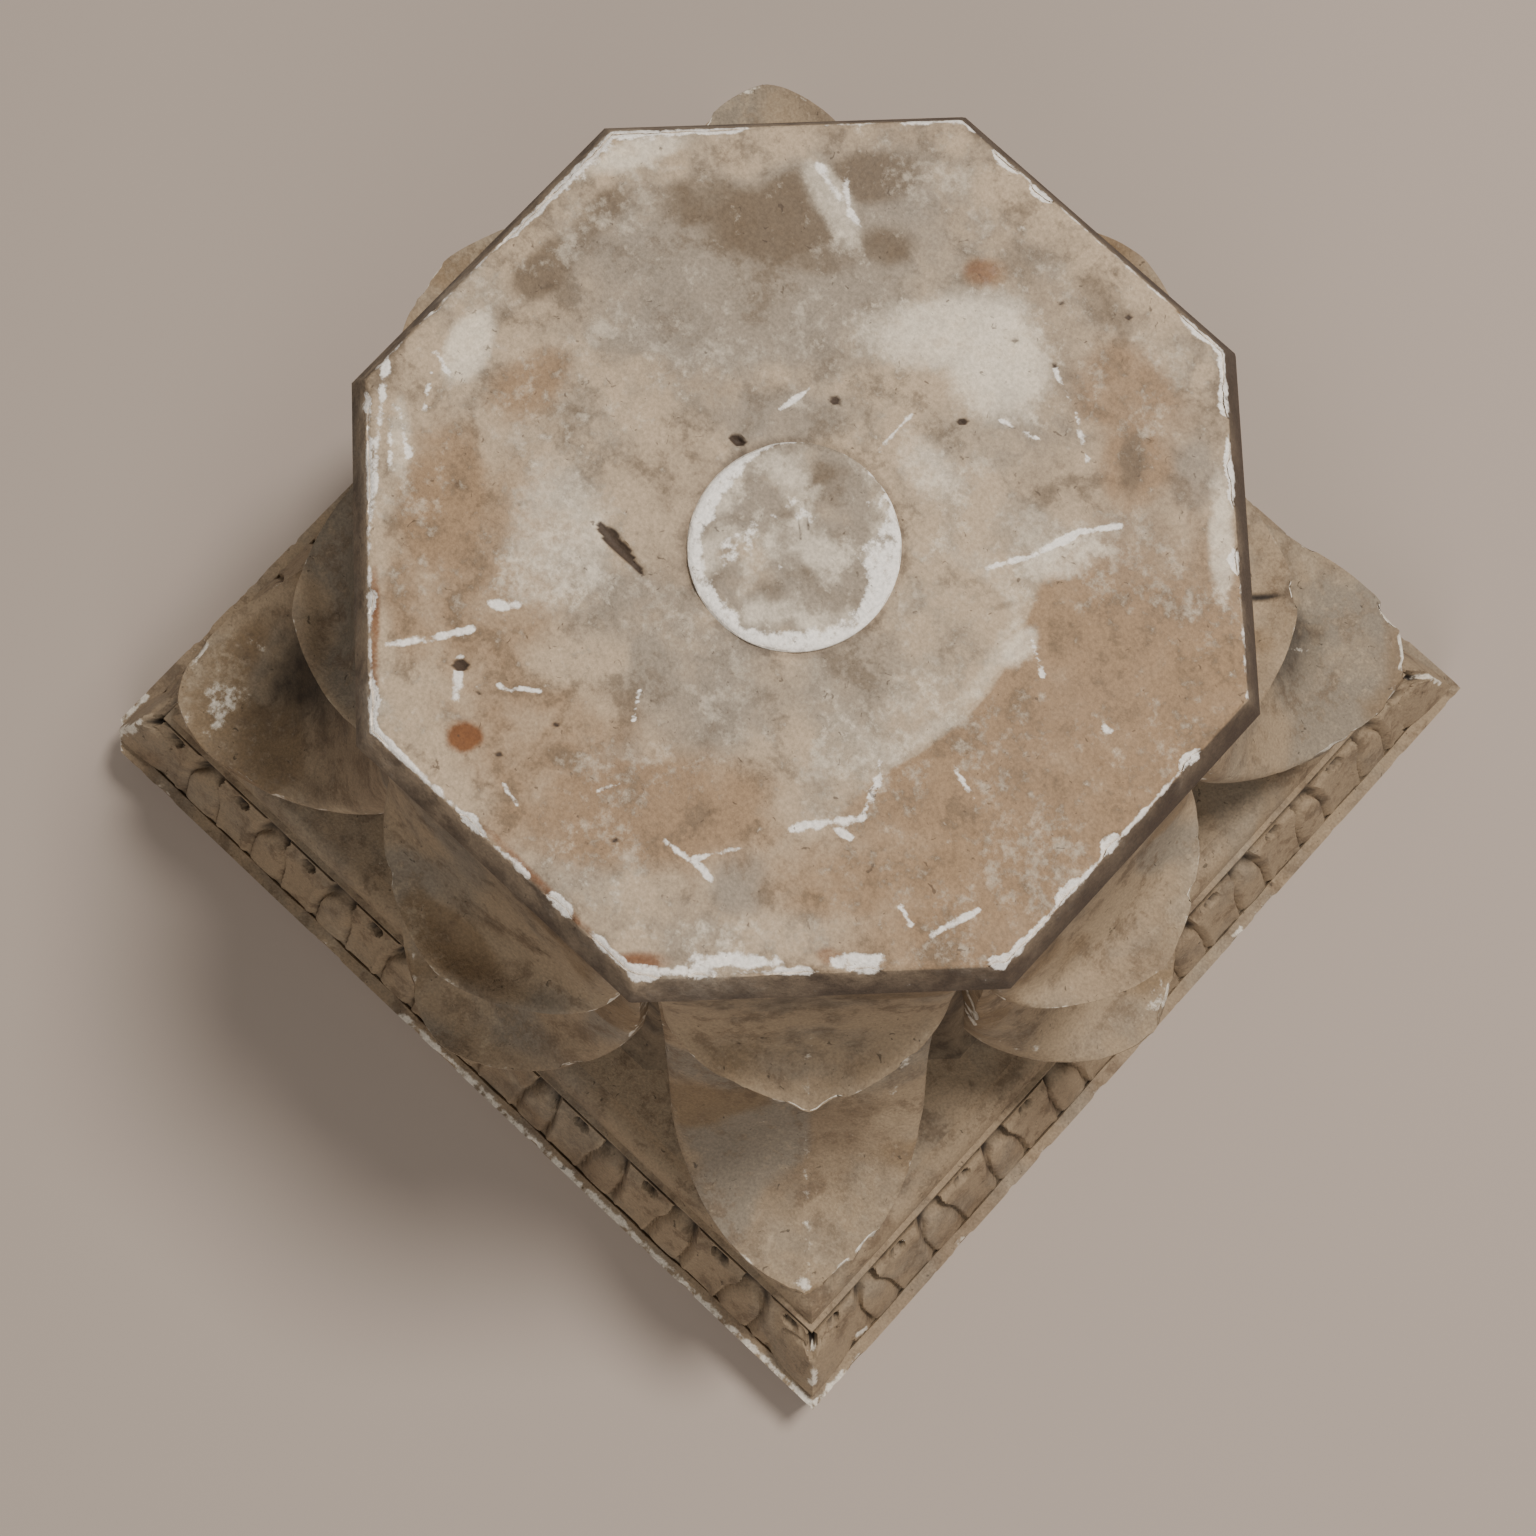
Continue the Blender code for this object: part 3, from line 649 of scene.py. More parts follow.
def carve_side(side, number):
    """Carves one copy of the side, with its own small slips of the chisel."""
    points = read_points(side)
    inset = points[:, 1] + HALF_SIDE
    spread = points[:, 0] / (HALF_SIDE - inset)
    row = (inset - BAND_OUTER) / BAND_WIDTH
    slope_z = FILLET_HEIGHT + BAND_HEIGHT * row
    on_band = (np.abs(points[:, 2] - slope_z) < 1e-5) & (row > -1e-4) & (row < 1 + 1e-4)
    height, dirt_and_shade = carving(points[:, 0], np.clip(row, 0, 1), inset, number)
    height = np.where(on_band, height, 0)
    dirt_and_shade = np.where(on_band, dirt_and_shade, 0)
    groove_far = np.abs(inset - FILLET_WIDTH - GROOVE_WIDTH / 2)
    in_groove = (groove_far < 1e-4) & (points[:, 2] > 0.5 * FILLET_HEIGHT)
    waver = points + np.array([number, 0, 0])
    dirt_and_shade = np.where(in_groove, 0.25 + 0.45 * smooth(0.5 + rough(waver, 0.03, 71, 2)), dirt_and_shade)
    near_groove = (groove_far < GROOVE_WIDTH) & (points[:, 2] > 0.5 * FILLET_HEIGHT) & (row < 0.02)
    wavy_groove = np.where(near_groove, 0.0009 * rough(waver, 0.02, 72, 2), 0)
    inset = inset - height * math.sin(BAND_SLOPE) + wavy_groove
    above = (row > 1) & (points[:, 2] > BAND_TOP - 0.01)
    dirt_and_shade = np.where(above & (groove_far > 0), 0.25 * smooth(0.3 + rough(waver, 0.02, 73, 3)), dirt_and_shade)
    under_lip = np.abs(inset - BAND_INNER - 0.0007) < 2e-4
    dirt_and_shade = np.where(under_lip, 0.5, dirt_and_shade)
    points[:, 0] = spread * (HALF_SIDE - inset)
    points[:, 1] = inset - HALF_SIDE
    points[:, 2] += height * math.cos(BAND_SLOPE)
    write_points(side, points)
    paint(side, "dirt_and_shade", dirt_and_shade)
    side.data.transform(Matrix.Rotation(number * math.pi / 2, 4, "Z"))
    return side


def break_corners(points):
    """Moves what lies past each old break back onto it; returns the places broken."""
    broken = np.zeros(len(points))
    crumbs = 0.0012 * rough(points, 0.006, 3, 3)
    for corner, depth in CORNER_BREAKS.items():
        out = (points[:, 0] * corner[0] + points[:, 1] * corner[1]) / math.sqrt(2)
        limit = math.sqrt(2) * HALF_SIDE - depth - points[:, 2] * math.tan(BREAK_LEAN) + crumbs
        past = np.clip(out - limit, 0, None)
        points[:, 0] -= past * corner[0] / math.sqrt(2)
        points[:, 1] -= past * corner[1] / math.sqrt(2)
        broken = np.maximum(broken, past > 0)
    return broken


def model_abacus():
    side = model_side(moulding_lines())
    sides = [side, *(own_copy(side) for _ in range(3))]
    abacus = join([carve_side(piece, number) for number, piece in enumerate(sides)], "abacus")
    start_edit(abacus)
    bpy.ops.mesh.select_all(action="SELECT")
    bpy.ops.mesh.remove_doubles(threshold=0.00001)
    end_edit()
    close_ends(abacus)
    points = read_points(abacus)
    wear = 0.75 * break_corners(points)
    # Arrises of the outer fillet crumble here and there
    edge = HALF_SIDE - np.abs(points[:, :2]).max(axis=1)
    level = points[:, 2] - FILLET_HEIGHT
    at_arris = smooth((0.0035 - edge) / 0.003) * smooth((level + ARRIS_DEPTH) / 0.005) * (level < 0.0015)
    worn = smooth((rough(points, 0.014, 5, 4) - 0.10) / 0.30) * at_arris
    white = marked(points, ABACUS_WEAR) * smooth((level + ARRIS_DEPTH) / 0.005)
    points[:, 2] -= (worn + 0.4 * white * at_arris) * 0.0012 * (1 + rough(points, 0.002, 8))
    inward = np.sign(points[:, :2]) * (np.abs(points[:, :2]) > HALF_SIDE - 0.004)
    points[:, :2] -= inward * (worn * 0.0008)[:, None]
    mitre = np.abs(np.abs(points[:, 0]) - np.abs(points[:, 1]))
    crest = smooth((0.0035 - mitre) / 0.003) * smooth((rough(points, 0.012, 9, 2) + 0.1) / 0.3)
    crest = crest * (points[:, 2] < BAND_TOP) * (level > -ARRIS_DEPTH)
    lumps = 0.00035 * rough(points, 0.009, 12, 3)
    points[:, 2] += (lumps - crest * 0.0010) * (points[:, 2] > 0.001)
    points[:, 2] = np.clip(points[:, 2], 0, None)
    dents = np.abs(0.0006 * rough(points, 0.014, 13, 3)) * (level < -0.001) * (edge < 0.001)
    points[:, :2] -= inward * dents[:, None]
    points[:, :2] = np.clip(points[:, :2], -HALF_SIDE, HALF_SIDE)
    write_points(abacus, points)
    paint(abacus, "wear", np.maximum(np.maximum(wear, worn * 0.35), np.maximum(crest * 0.35, white * 0.8)))
    shade(abacus)
    return abacus


# Leaves and bell

def model_leaf_block(columns, rows, layers):
    """A box that stands for a leaf laid flat: X across, Y down, Z from back to front."""
    bpy.ops.mesh.primitive_cube_add(size=1, location=(0, 0.5, 0.5))
    bpy.ops.object.transform_apply(location=True, rotation=True, scale=True)
    block = bpy.context.object
    start_edit(block, "EDGE")
    for axis, pieces in enumerate((columns, rows, layers)):
        choose_edges(block, runs_along(axis))
        bpy.ops.mesh.subdivide(number_cuts=pieces - 1)
    end_edit()
    return block


def leaf_shape(tier, leaf, across, down, through):
    """Points of one leaf facing +X; through runs from 0 at its back to 1 at its face."""
    reach, root = leaf["reach"], tier["root"]
    top = BAND_FOOT_Z + OVERLAP
    spring = root + leaf["spring"]
    roundness = leaf["roundness"]
    arch = np.clip(1 - np.abs(across) ** roundness, 0, None) ** (1 / roundness)
    end = spring + (reach - spring) * arch
    last_turn = np.arccos((reach - end) / (reach - root))
    turn = last_turn * down
    fall = (top - tier["low"]) * (1 + leaf["droop"] * (1 / np.sin(last_turn) - 1))
    x = reach - (reach - root) * np.cos(turn)
    z = top - fall * np.sin(turn)
    lip = smooth((down - LIP_START) / (1 - LIP_START)) * np.sin(last_turn)
    z = z + LIP_RISE * lip * down
    body = LEAF_BODY * np.clip(np.sin(math.pi * np.minimum(1.0, down * 1.02)), 0, None) ** 1.5
    sunk = LEAF_BACK_INSET * (1 - down) ** 2
    thickness = (LIP_THICKNESS + body + sunk) * (1 - through)
    x = x - thickness * (1 - np.sin(turn)) - 0.35 * LIP_THICKNESS * lip * (1 - through)
    z = z - thickness * np.sin(turn)
    wedge = x * math.tan(HALF_ANGLE) - tier["wedge_gap"]
    left = np.minimum(wedge, leaf["half_width"] + leaf["slip"])
    right = np.maximum(-wedge, leaf["slip"] - leaf["half_width"])
    y = (left + right) / 2 + across * (left - right) / 2
    return np.stack([x, y, z], axis=1)


def bend_leaf(block, name, tier, number):
    """Bends a copy of the flat block into one leaf of a tier, with its wear."""
    leaf = {**tier["corner" if number % 2 else "side"], **tier["by_hand"].get(f"leaf_{number}", {})}
    piece = own_copy(block)
    flat = read_points(piece)
    across = np.sin(np.clip(flat[:, 0] * 2, -1, 1) * math.pi / 2)
    down = np.clip(flat[:, 1], 0, 1) ** 0.75
    through = np.clip(flat[:, 2], 0, 1)
    # The lip's two arrises are a little round
    on_edge = 1 - np.sqrt(np.clip(1 - np.abs(2 * through - 1) ** 5, 0, 1))
    at_end = smooth((down - 0.90) / 0.10)
    down = down * (1 - 0.008 * on_edge * at_end)
    across = across * (1 - 0.010 * on_edge)
    points = leaf_shape(tier, leaf, across, down, through)
    far = leaf_shape(tier, leaf, across * 0.94, np.clip(down - 0.05, 0, 1), through)
    inward = far - points
    inward /= np.linalg.norm(inward, axis=1)[:, None] + 1e-9
    seed = 40 + number + int(tier["low"] * 1000)
    turned = points @ np.array(Matrix.Rotation(number * 2 * HALF_ANGLE, 3, "Z")).T
    rim = smooth((np.maximum(down, np.abs(across)) - 0.965) / 0.03) * smooth((down - 0.35) / 0.2)
    chip = smooth((rough(turned, 0.016, seed, 3) - 0.16) / 0.22) * rim
    face = smooth((through - 0.4) / 0.4)
    marks = {"seam": 0.0, "crack": 0.0, "chip": 0.0, "soot_and_shade": 0.0}
    for tier_name, leaf_number, kind, width, line in LEAF_MARKS:
        if tier_name == name and leaf_number == number:
            half = leaf["half_width"]
            spread = np.stack([across * half, down * leaf["reach"] * 0.6], axis=1)
            placed = [(share * half, way * leaf["reach"] * 0.6) for share, way in line]
            near = np.clip(1.3 - far_from_line(spread, placed) / width, 0, 1)
            marks[kind] = np.maximum(marks[kind], near * face)
    marks["chip"] = marks["chip"] * smooth((rough(turned, 0.006, seed + 6, 3) + 0.35) / 0.6)
    # The middle of a leaf with a seam runs out to a point
    tip = np.exp(-((across / 0.11) ** 2)) * smooth((down - 0.55) / 0.45)
    points[:, 0] += LEAF_TIPS.get((name, number), 0.0) * tip
    points += inward * (chip * 0.0022 + marks["chip"] * rim * 0.0020)[:, None]
    lumps = 0.0007 * rough(turned, 0.028, 21, 2) + 0.0003 * rough(turned, 0.006, 22, 3)
    pitted = 0.0011 * smooth((rough(turned, 0.005, 23, 2) - 0.1) / 0.3) * marks["chip"]
    points[:, 2] += lumps * (1 - 0.6 * rim) + 0.0007 * marks["seam"] - 0.0012 * marks["crack"] - pitted
    points[:, 0] += lumps
    write_points(piece, points)
    piece.data.transform(Matrix.Rotation(number * 2 * HALF_ANGLE, 4, "Z"))
    rubbed = 0.45 * rim * smooth((rough(turned, 0.01, seed + 2, 3) + 0.05) / 0.4)
    paint(piece, "wear", chip * 0.8 + rubbed + 0.45 * marks["chip"] + 0.32 * marks["seam"])
    # Painted shade, with real dirt in cracks: darkest in the hollow near the root and on backs facing the
    # bell
    hollow = 0.42 * smooth((0.72 - down) / 0.60) * (through > 0.9)
    behind = 0.40 * (through < 0.1) * (1 - smooth((down - 0.86) / 0.12) * face)
    paint(piece, "dirt_and_shade", np.maximum(hollow + behind, 0.9 * marks["crack"]) + 0.6 * smooth(marks["soot_and_shade"]))
    stains = 0.5 + 0.5 * rough(turned, 0.045, seed + 3, 3)
    paint(piece, "pale", smooth((down - 0.70) / 0.25) * stains * 0.65 * (through > 0.5))
    paint(piece, "grey", smooth((rough(turned, 0.05, seed + 4, 2) - 0.05) / 0.4) * 0.9)
    paint(piece, "tan", smooth((rough(turned, 0.04, seed + 5, 2) - 0.05) / 0.4))
    return piece


def model_bell():
    """An octagonal stack, drawn in from its foot to its waist."""
    waist_z = SOFFIT_Z + BELL_WAIST_HEIGHT
    rings = [(BELL_FOOT, SOFFIT_Z - OVERLAP)]
    for i in range(1, 7):
        turn = i / 6 * math.pi / 2
        apothem = BELL_FOOT - (BELL_FOOT - BELL_WAIST) * math.sin(turn)
        rings.append((apothem, waist_z - (waist_z - SOFFIT_Z) * math.cos(turn)))
    rings.append((BELL_WAIST, BAND_FOOT_Z + OVERLAP))
    radius = BELL_FOOT / math.cos(HALF_ANGLE)
    bpy.ops.mesh.primitive_circle_add(vertices=NECK_SIDES, radius=radius, location=(0, 0, rings[0][1]))
    bpy.ops.object.transform_apply(location=True, rotation=True, scale=True)
    bell = bpy.context.object
    bell.data.transform(Matrix.Rotation(HALF_ANGLE, 4, "Z"))
    start_edit(bell)
    bpy.ops.mesh.select_all(action="SELECT")
    for (apothem, z), (next_apothem, next_z) in zip(rings, rings[1:]):
        bpy.ops.mesh.extrude_region_move(TRANSFORM_OT_translate={"value": (0, 0, next_z - z)})
        share = next_apothem / apothem
        bpy.ops.transform.resize(value=(share, share, 1), center_override=(0, 0, next_z))
    end_edit()
    close_ends(bell)
    # Painted shade: the whole bell, seen only deep in the gaps between the leaves, is darkened evenly
    paint(bell, "dirt_and_shade", np.full(len(bell.data.vertices), 0.45))
    return bell


def model_tier(name, tier, rows, extra=()):
    block = model_leaf_block(LEAF_COLUMNS, rows, LEAF_LAYERS)
    leaves = [bend_leaf(block, name, tier, number) for number in range(NECK_SIDES)]
    bpy.data.objects.remove(block)
    made = join([*leaves, *extra], name)
    start_edit(made)
    bpy.ops.mesh.select_all(action="SELECT")
    bpy.ops.mesh.normals_make_consistent(inside=False)
    end_edit()
    shade(made, 50)
    return made


# Neck band, bed and disc

def octagon_reach(points):
    """Distance from the axis measured square to the nearest side of the octagon."""
    turns = np.arange(NECK_SIDES) * 2 * HALF_ANGLE
    sides = np.stack([np.cos(turns), np.sin(turns)])
    return (points[:, :2] @ sides).max(axis=1)


def bowl(points, place, length, width, turn, depth):
    """A long hollow on the bed, deepest in its middle."""
    return depth * np.sqrt(np.clip(1 - oval(points, place, length, width, turn) ** 2, 0, None))


def model_neck():
    width = 2.1 * BAND_APOTHEM
    cells = int(width / BED_GRAIN)
    bpy.ops.mesh.primitive_grid_add(x_subdivisions=cells, y_subdivisions=cells, size=width)
    neck = bpy.context.object
    start_edit(neck)
    for i in range(NECK_SIDES):
        way = Vector((math.cos(i * 2 * HALF_ANGLE), math.sin(i * 2 * HALF_ANGLE), 0))
        bpy.ops.mesh.select_all(action="SELECT")
        bpy.ops.mesh.bisect(plane_co=way * BED_APOTHEM, plane_no=way, clear_outer=True)
    bpy.ops.mesh.select_all(action="SELECT")
    bpy.ops.mesh.remove_doubles(threshold=0.0003)
    bpy.ops.mesh.select_all(action="DESELECT")
    bpy.ops.mesh.select_mode(type="EDGE")
    bpy.ops.mesh.select_non_manifold(extend=False)
    steps = 10
    for i in range(steps):
        before = BED_APOTHEM + (BAND_APOTHEM - BED_APOTHEM) * i / steps
        after = BED_APOTHEM + (BAND_APOTHEM - BED_APOTHEM) * (i + 1) / steps
        bpy.ops.mesh.extrude_region_move(
            TRANSFORM_OT_translate={"value": (0, 0, -NECK_BAND_HEIGHT / steps)})
        bpy.ops.transform.resize(value=(after / before, after / before, 1), center_override=(0, 0, 0))
    bpy.ops.mesh.edge_face_add()
    bpy.ops.mesh.select_all(action="SELECT")
    bpy.ops.mesh.normals_make_consistent(inside=False)
    end_edit()
    neck.data.transform(Matrix.Translation((0, 0, HEIGHT)))
    neck.name = neck.data.name = "neck"
    points = read_points(neck)
    below = HEIGHT - points[:, 2]
    edge = BED_APOTHEM - octagon_reach(points)
    on_top = below < 1e-5
    flat = points * np.array([1, 1, 0])
    # Rounded and bitten arris
    crumble = smooth((rough(flat, 0.030, 31, 4) + 0.02) / 0.30)
    for place, size in ARRIS_BITES:
        ragged = size * (1 + 0.5 * rough(flat, 0.004, 37, 2))
        away = np.linalg.norm(flat[:, :2] - place, axis=1)
        crumble = np.maximum(crumble, 1.6 * smooth(1.4 - away / ragged))
    radius = 0.0005 + 0.0026 * crumble * (1 + 0.5 * rough(flat, 0.004, 32, 2))
    into = np.where(on_top, edge, below)
    share = np.clip(1 - into / radius, 0, 1)
    drop = radius * (1 - np.sqrt(np.clip(1 - share**2, 0, 1))) * 0.8
    grit = np.abs(0.0004 * rough(points, 0.0022, 33, 2) * smooth(share * 3))
    outward = points[:, :2] / (np.linalg.norm(points[:, :2], axis=1)[:, None] + 1e-9)
    points[:, 2] -= np.where(on_top, drop + grit, 0)
    points[:, :2] -= outward * np.where(on_top, 0, drop + grit)[:, None]
    # Marks in the bed: the gouge, pits, and the groove round the disc
    sink = np.zeros(len(flat))
    for hollow in GOUGE:
        sink = np.maximum(sink, bowl(flat, *hollow))
    for place, size, depth in BED_PITS:
        sink = np.maximum(sink, bowl(flat, place, size * 1.3, size, 0.5, depth))
    dice = np.random.default_rng(7)
    for x, y, size in dice.uniform((-0.13, -0.13, 0.0010), (0.13, 0.13, 0.0022), (PINHOLES, 3)):
        sink = np.maximum(sink, bowl(flat, (x, y), size * 1.4, size, x * 40, size * 0.30))
    sink = np.maximum(sink, 0.0005 * marked(flat, DARK_MARKS))
    far = np.hypot(points[:, 0] - DISC_CENTRE[0], points[:, 1] - DISC_CENTRE[1])
    uneven = 0.65 + 0.35 * rough(flat, 0.010, 34, 3)
    ring = np.exp(-(((far - DISC_RADIUS - 0.0006) / 0.0020) ** 2)) * uneven
    sink = sink + 0.0008 * ring + 0.001 * (far < DISC_RADIUS - 0.002)
    waves = np.abs(0.0004 * rough(flat, 0.050, 35, 2) + 0.00012 * rough(flat, 0.005, 36, 3))
    points[:, 2] -= np.where(on_top & (edge > 0), sink + waves, 0)
    write_points(neck, points)
    paint_bed(neck, flat, on_top)
    white = marked(flat, WHITE_MARKS)
    band_white = np.where(on_top, 1.0, smooth(1 - below / 0.003))
    paint(neck, "streak", white * band_white * (sink < 0.0008))
    paint(neck, "wear", smooth(share * 1.6) * (0.10 + 0.60 * np.clip(crumble, 0, 1)))
    # The band is sooty, with painted light over it: it is darker on the lamp-lit sides towards
    # +X+Y, lighter on the shaded sides away from them, and darker towards its foot
    facing = (points[:, 0] + points[:, 1]) / (2 * BAND_APOTHEM)
    soot_and_shade = 0.48 + 0.22 * facing + 0.25 * below / NECK_BAND_HEIGHT
    paint(neck, "dirt_and_shade", np.where(on_top, np.maximum(smooth(sink / 0.0013) * 0.95, ring * 0.55), soot_and_shade))
    shade(neck, 60)
    return neck


def paint_bed(piece, flat, on_top):
    """Lays the stains of the bed over each other, with wavering edges."""
    wobble = 0.45 * rough(flat, 0.022, 81, 4)
    layers = {name: np.zeros(len(flat)) for name in STAINS}
    for name, stains in STAINS.items():
        for place, length, width, degrees, strength in stains:
            inside = smooth((1.45 - oval(flat, place, length, width, math.radians(degrees)) + wobble) / 1.0)
            layers[name] = np.maximum(layers[name], strength * inside)
    # Tan beyond the round stain's edge, on the side towards +X
    away = flat[:, :2] - np.array(DISC_CENTRE)
    turn = np.abs(np.arctan2(away[:, 1], away[:, 0]) - RING_TURN)
    crisp = smooth((RING_SPREAD * 1.7 - turn) / (RING_SPREAD * 1.1))
    edge = (np.hypot(away[:, 0], away[:, 1]) - RING_RADIUS + 0.0015 * wobble) / (0.0015 + 0.030 * (1 - crisp))
    layers["tan"] = np.maximum(layers["tan"], smooth(edge) * crisp * (0.85 + 0.4 * wobble))
    pale_rim = 0.55 * np.exp(-((edge + 2.0) / 3.0) ** 2) * crisp * (edge < 0)
    layers["pale"] = np.maximum(layers["pale"], pale_rim)
    for name, values in layers.items():
        paint(piece, name, values * np.where(on_top, 1.0, 0.5))


def model_disc():
    """The raised disc: a filled circle grown ring by ring, with a worn arris."""
    rings = 34
    depth = DISC_RISE + 0.003
    centre = (*DISC_CENTRE, HEIGHT + DISC_RISE)
    bpy.ops.mesh.primitive_circle_add(vertices=160, radius=DISC_RADIUS, fill_type="NOTHING", location=centre)
    bpy.ops.object.transform_apply(location=True, rotation=True, scale=True)
    disc = bpy.context.object
    start_edit(disc)
    bpy.ops.mesh.select_all(action="SELECT")
    for i in range(rings - 1):
        share = (rings - 1 - i) / (rings - i)
        bpy.ops.mesh.extrude_region_move()
        bpy.ops.transform.resize(value=(share, share, 1), center_override=centre)
    bpy.ops.mesh.edge_face_add()
    bpy.ops.mesh.select_all(action="DESELECT")
    bpy.ops.mesh.select_mode(type="EDGE")
    bpy.ops.mesh.select_non_manifold(extend=False)
    for i in range(5):
        bpy.ops.mesh.extrude_region_move(TRANSFORM_OT_translate={"value": (0, 0, -depth / 5)})
    bpy.ops.mesh.edge_face_add()
    bpy.ops.mesh.select_all(action="SELECT")
    bpy.ops.mesh.normals_make_consistent(inside=False)
    end_edit()
    disc.name = disc.data.name = "neck_disc"
    points = read_points(disc)
    flat = points * np.array([1, 1, 0])
    away = points[:, :2] - np.array(DISC_CENTRE)
    far = np.hypot(away[:, 0], away[:, 1])
    turn = np.arctan2(away[:, 1], away[:, 0])
    below = centre[2] - points[:, 2]
    ragged = smooth((rough(flat, 0.012, 51, 3) + 0.3) / 0.6)
    radius = 0.0008 + 0.0022 * ragged
    on_top = below < 1e-5
    into = np.where(on_top, DISC_RADIUS - far, below)
    share = np.clip(1 - into / radius, 0, 1)
    drop = radius * (1 - np.sqrt(np.clip(1 - share**2, 0, 1))) * 0.7
    grit = np.abs(0.00020 * rough(points, 0.003, 52, 3))
    points[:, 2] -= np.where(on_top, drop + grit, 0)
    points[:, :2] -= away / (far[:, None] + 1e-9) * np.where(on_top, 0, drop)[:, None]
    write_points(disc, points)
    # The rim is rubbed white, least of all towards +Y and most towards +X+Y and +X-Y
    least = np.exp(-((np.angle(np.exp(1j * (turn - math.radians(100)))) / 0.75) ** 2))
    most = np.exp(-((np.angle(np.exp(1j * (turn - math.radians(35)))) / 0.40) ** 2))
    width = 0.0080 + 0.0085 * most - 0.0060 * least + 0.004 * rough(flat, 0.010, 56, 3)
    rubbed = smooth((far - DISC_RADIUS + width) / 0.0050) * (1 - 0.7 * least)
    crumbs = smooth((rough(flat, 0.009, 54, 4) - 0.08) / 0.25)
    paint(disc, "wear", 0.62 * rubbed + 0.25 * smooth(share * 1.5) + 0.42 * crumbs)
    paint(disc, "pale", 0.35 + 0.9 * rough(flat, 0.010, 53, 3))
    paint(disc, "grey", 0.65 + 0.9 * rough(flat, 0.014, 55, 3))
    paint(disc, "dark", 0.30 + 1.2 * rough(flat, 0.011, 57, 3))
    paint(disc, "dirt_and_shade", np.maximum(0.45 * smooth(below / 0.001), marked(flat, DISC_SLITS)))
    shade(disc, 60)
    return disc


# Materials

def linear(code):
    """An sRGB hex colour as linear numbers."""
    parts = [int(code[i:i + 2], 16) / 255 for i in (1, 3, 5)]
    return [p / 12.92 if p <= 0.04045 else ((p + 0.055) / 1.055) ** 2.4 for p in parts] + [1.0]


def add_node(tree, kind, inputs=(), **settings):
    """A node with its settings; each input is a plain value or another node's output."""
    node = tree.nodes.new(kind)
    for name, value in settings.items():
        setattr(node, name, value)
    for name, value in dict(inputs).items():
        if isinstance(value, bpy.types.NodeSocket):
            tree.links.new(value, node.inputs[name])
        else:
            node.inputs[name].default_value = value
    return node


# Sizes in the plaster's pattern: bump size in metres, detail, roughness, distortion
GRAINS = {
    "clouds": (0.075, 3.0, 0.50, 0.4),  # soot and old shellac, a hand's breadth across
    "drifts": (0.034, 3.0, 0.50, 0.5),  # where rubbing and damp have come and gone
    "blotches": (0.014, 5.0, 0.60, 0.3),  # finger-wide blotches
    "flecks": (0.0042, 6.0, 0.70, 0.0),  # rubbed flecks and crumbs
    "specks": (0.0030, 2.0, 0.50, 1.0),  # pinholes of the cast, filled with dirt
    "grit": (0.0011, 3.0, 0.60, 0.0),  # chalky grain, coarser than real so that it shows
}

# Coats of the plaster from below: what it follows, what makes its edge ragged and by how
# much, the window of their sum where it fades in, its strength, and its colour's name
COATS = [
    ("clouds", "blotches", 0.5, 0.70, 0.95, 0.50, "deep"),
    ("drifts", "blotches", 0.6, 0.74, 0.98, 0.55, "cool"),
    ("grey", "blotches", 1.0, 0.55, 1.20, 0.88, "cool"),
    ("tan", "blotches", 1.0, 0.60, 1.35, 0.85, "tan"),
    ("dark", "blotches", 1.1, 0.62, 1.40, 0.85, "deep"),
    ("pale", "blotches", 1.6, 1.00, 1.95, 0.45, "light"),
    ("blotches", "flecks", 0.9, 0.92, 1.14, 0.58, "deep"),
    ("pale", "flecks", 1.8, 1.10, 1.90, 0.55, "light"),
    ("flecks", "drifts", 0.8, 0.93, 1.16, 0.32, "light"),
    ("rust", "flecks", 0.8, 0.50, 1.20, 0.92, "rust"),
    # This coat lays real dirt and painted shade alike, as each piece paints them
    ("dirt_and_shade", "blotches", 0.5, 0.28, 1.10, 0.96, "grime_and_shade"),
    ("streak", "flecks", 1.8, 1.22, 1.65, 0.85, "fresh"),
    ("wear", "flecks", 1.5, 1.05, 1.38, 0.90, "fresh"),
]


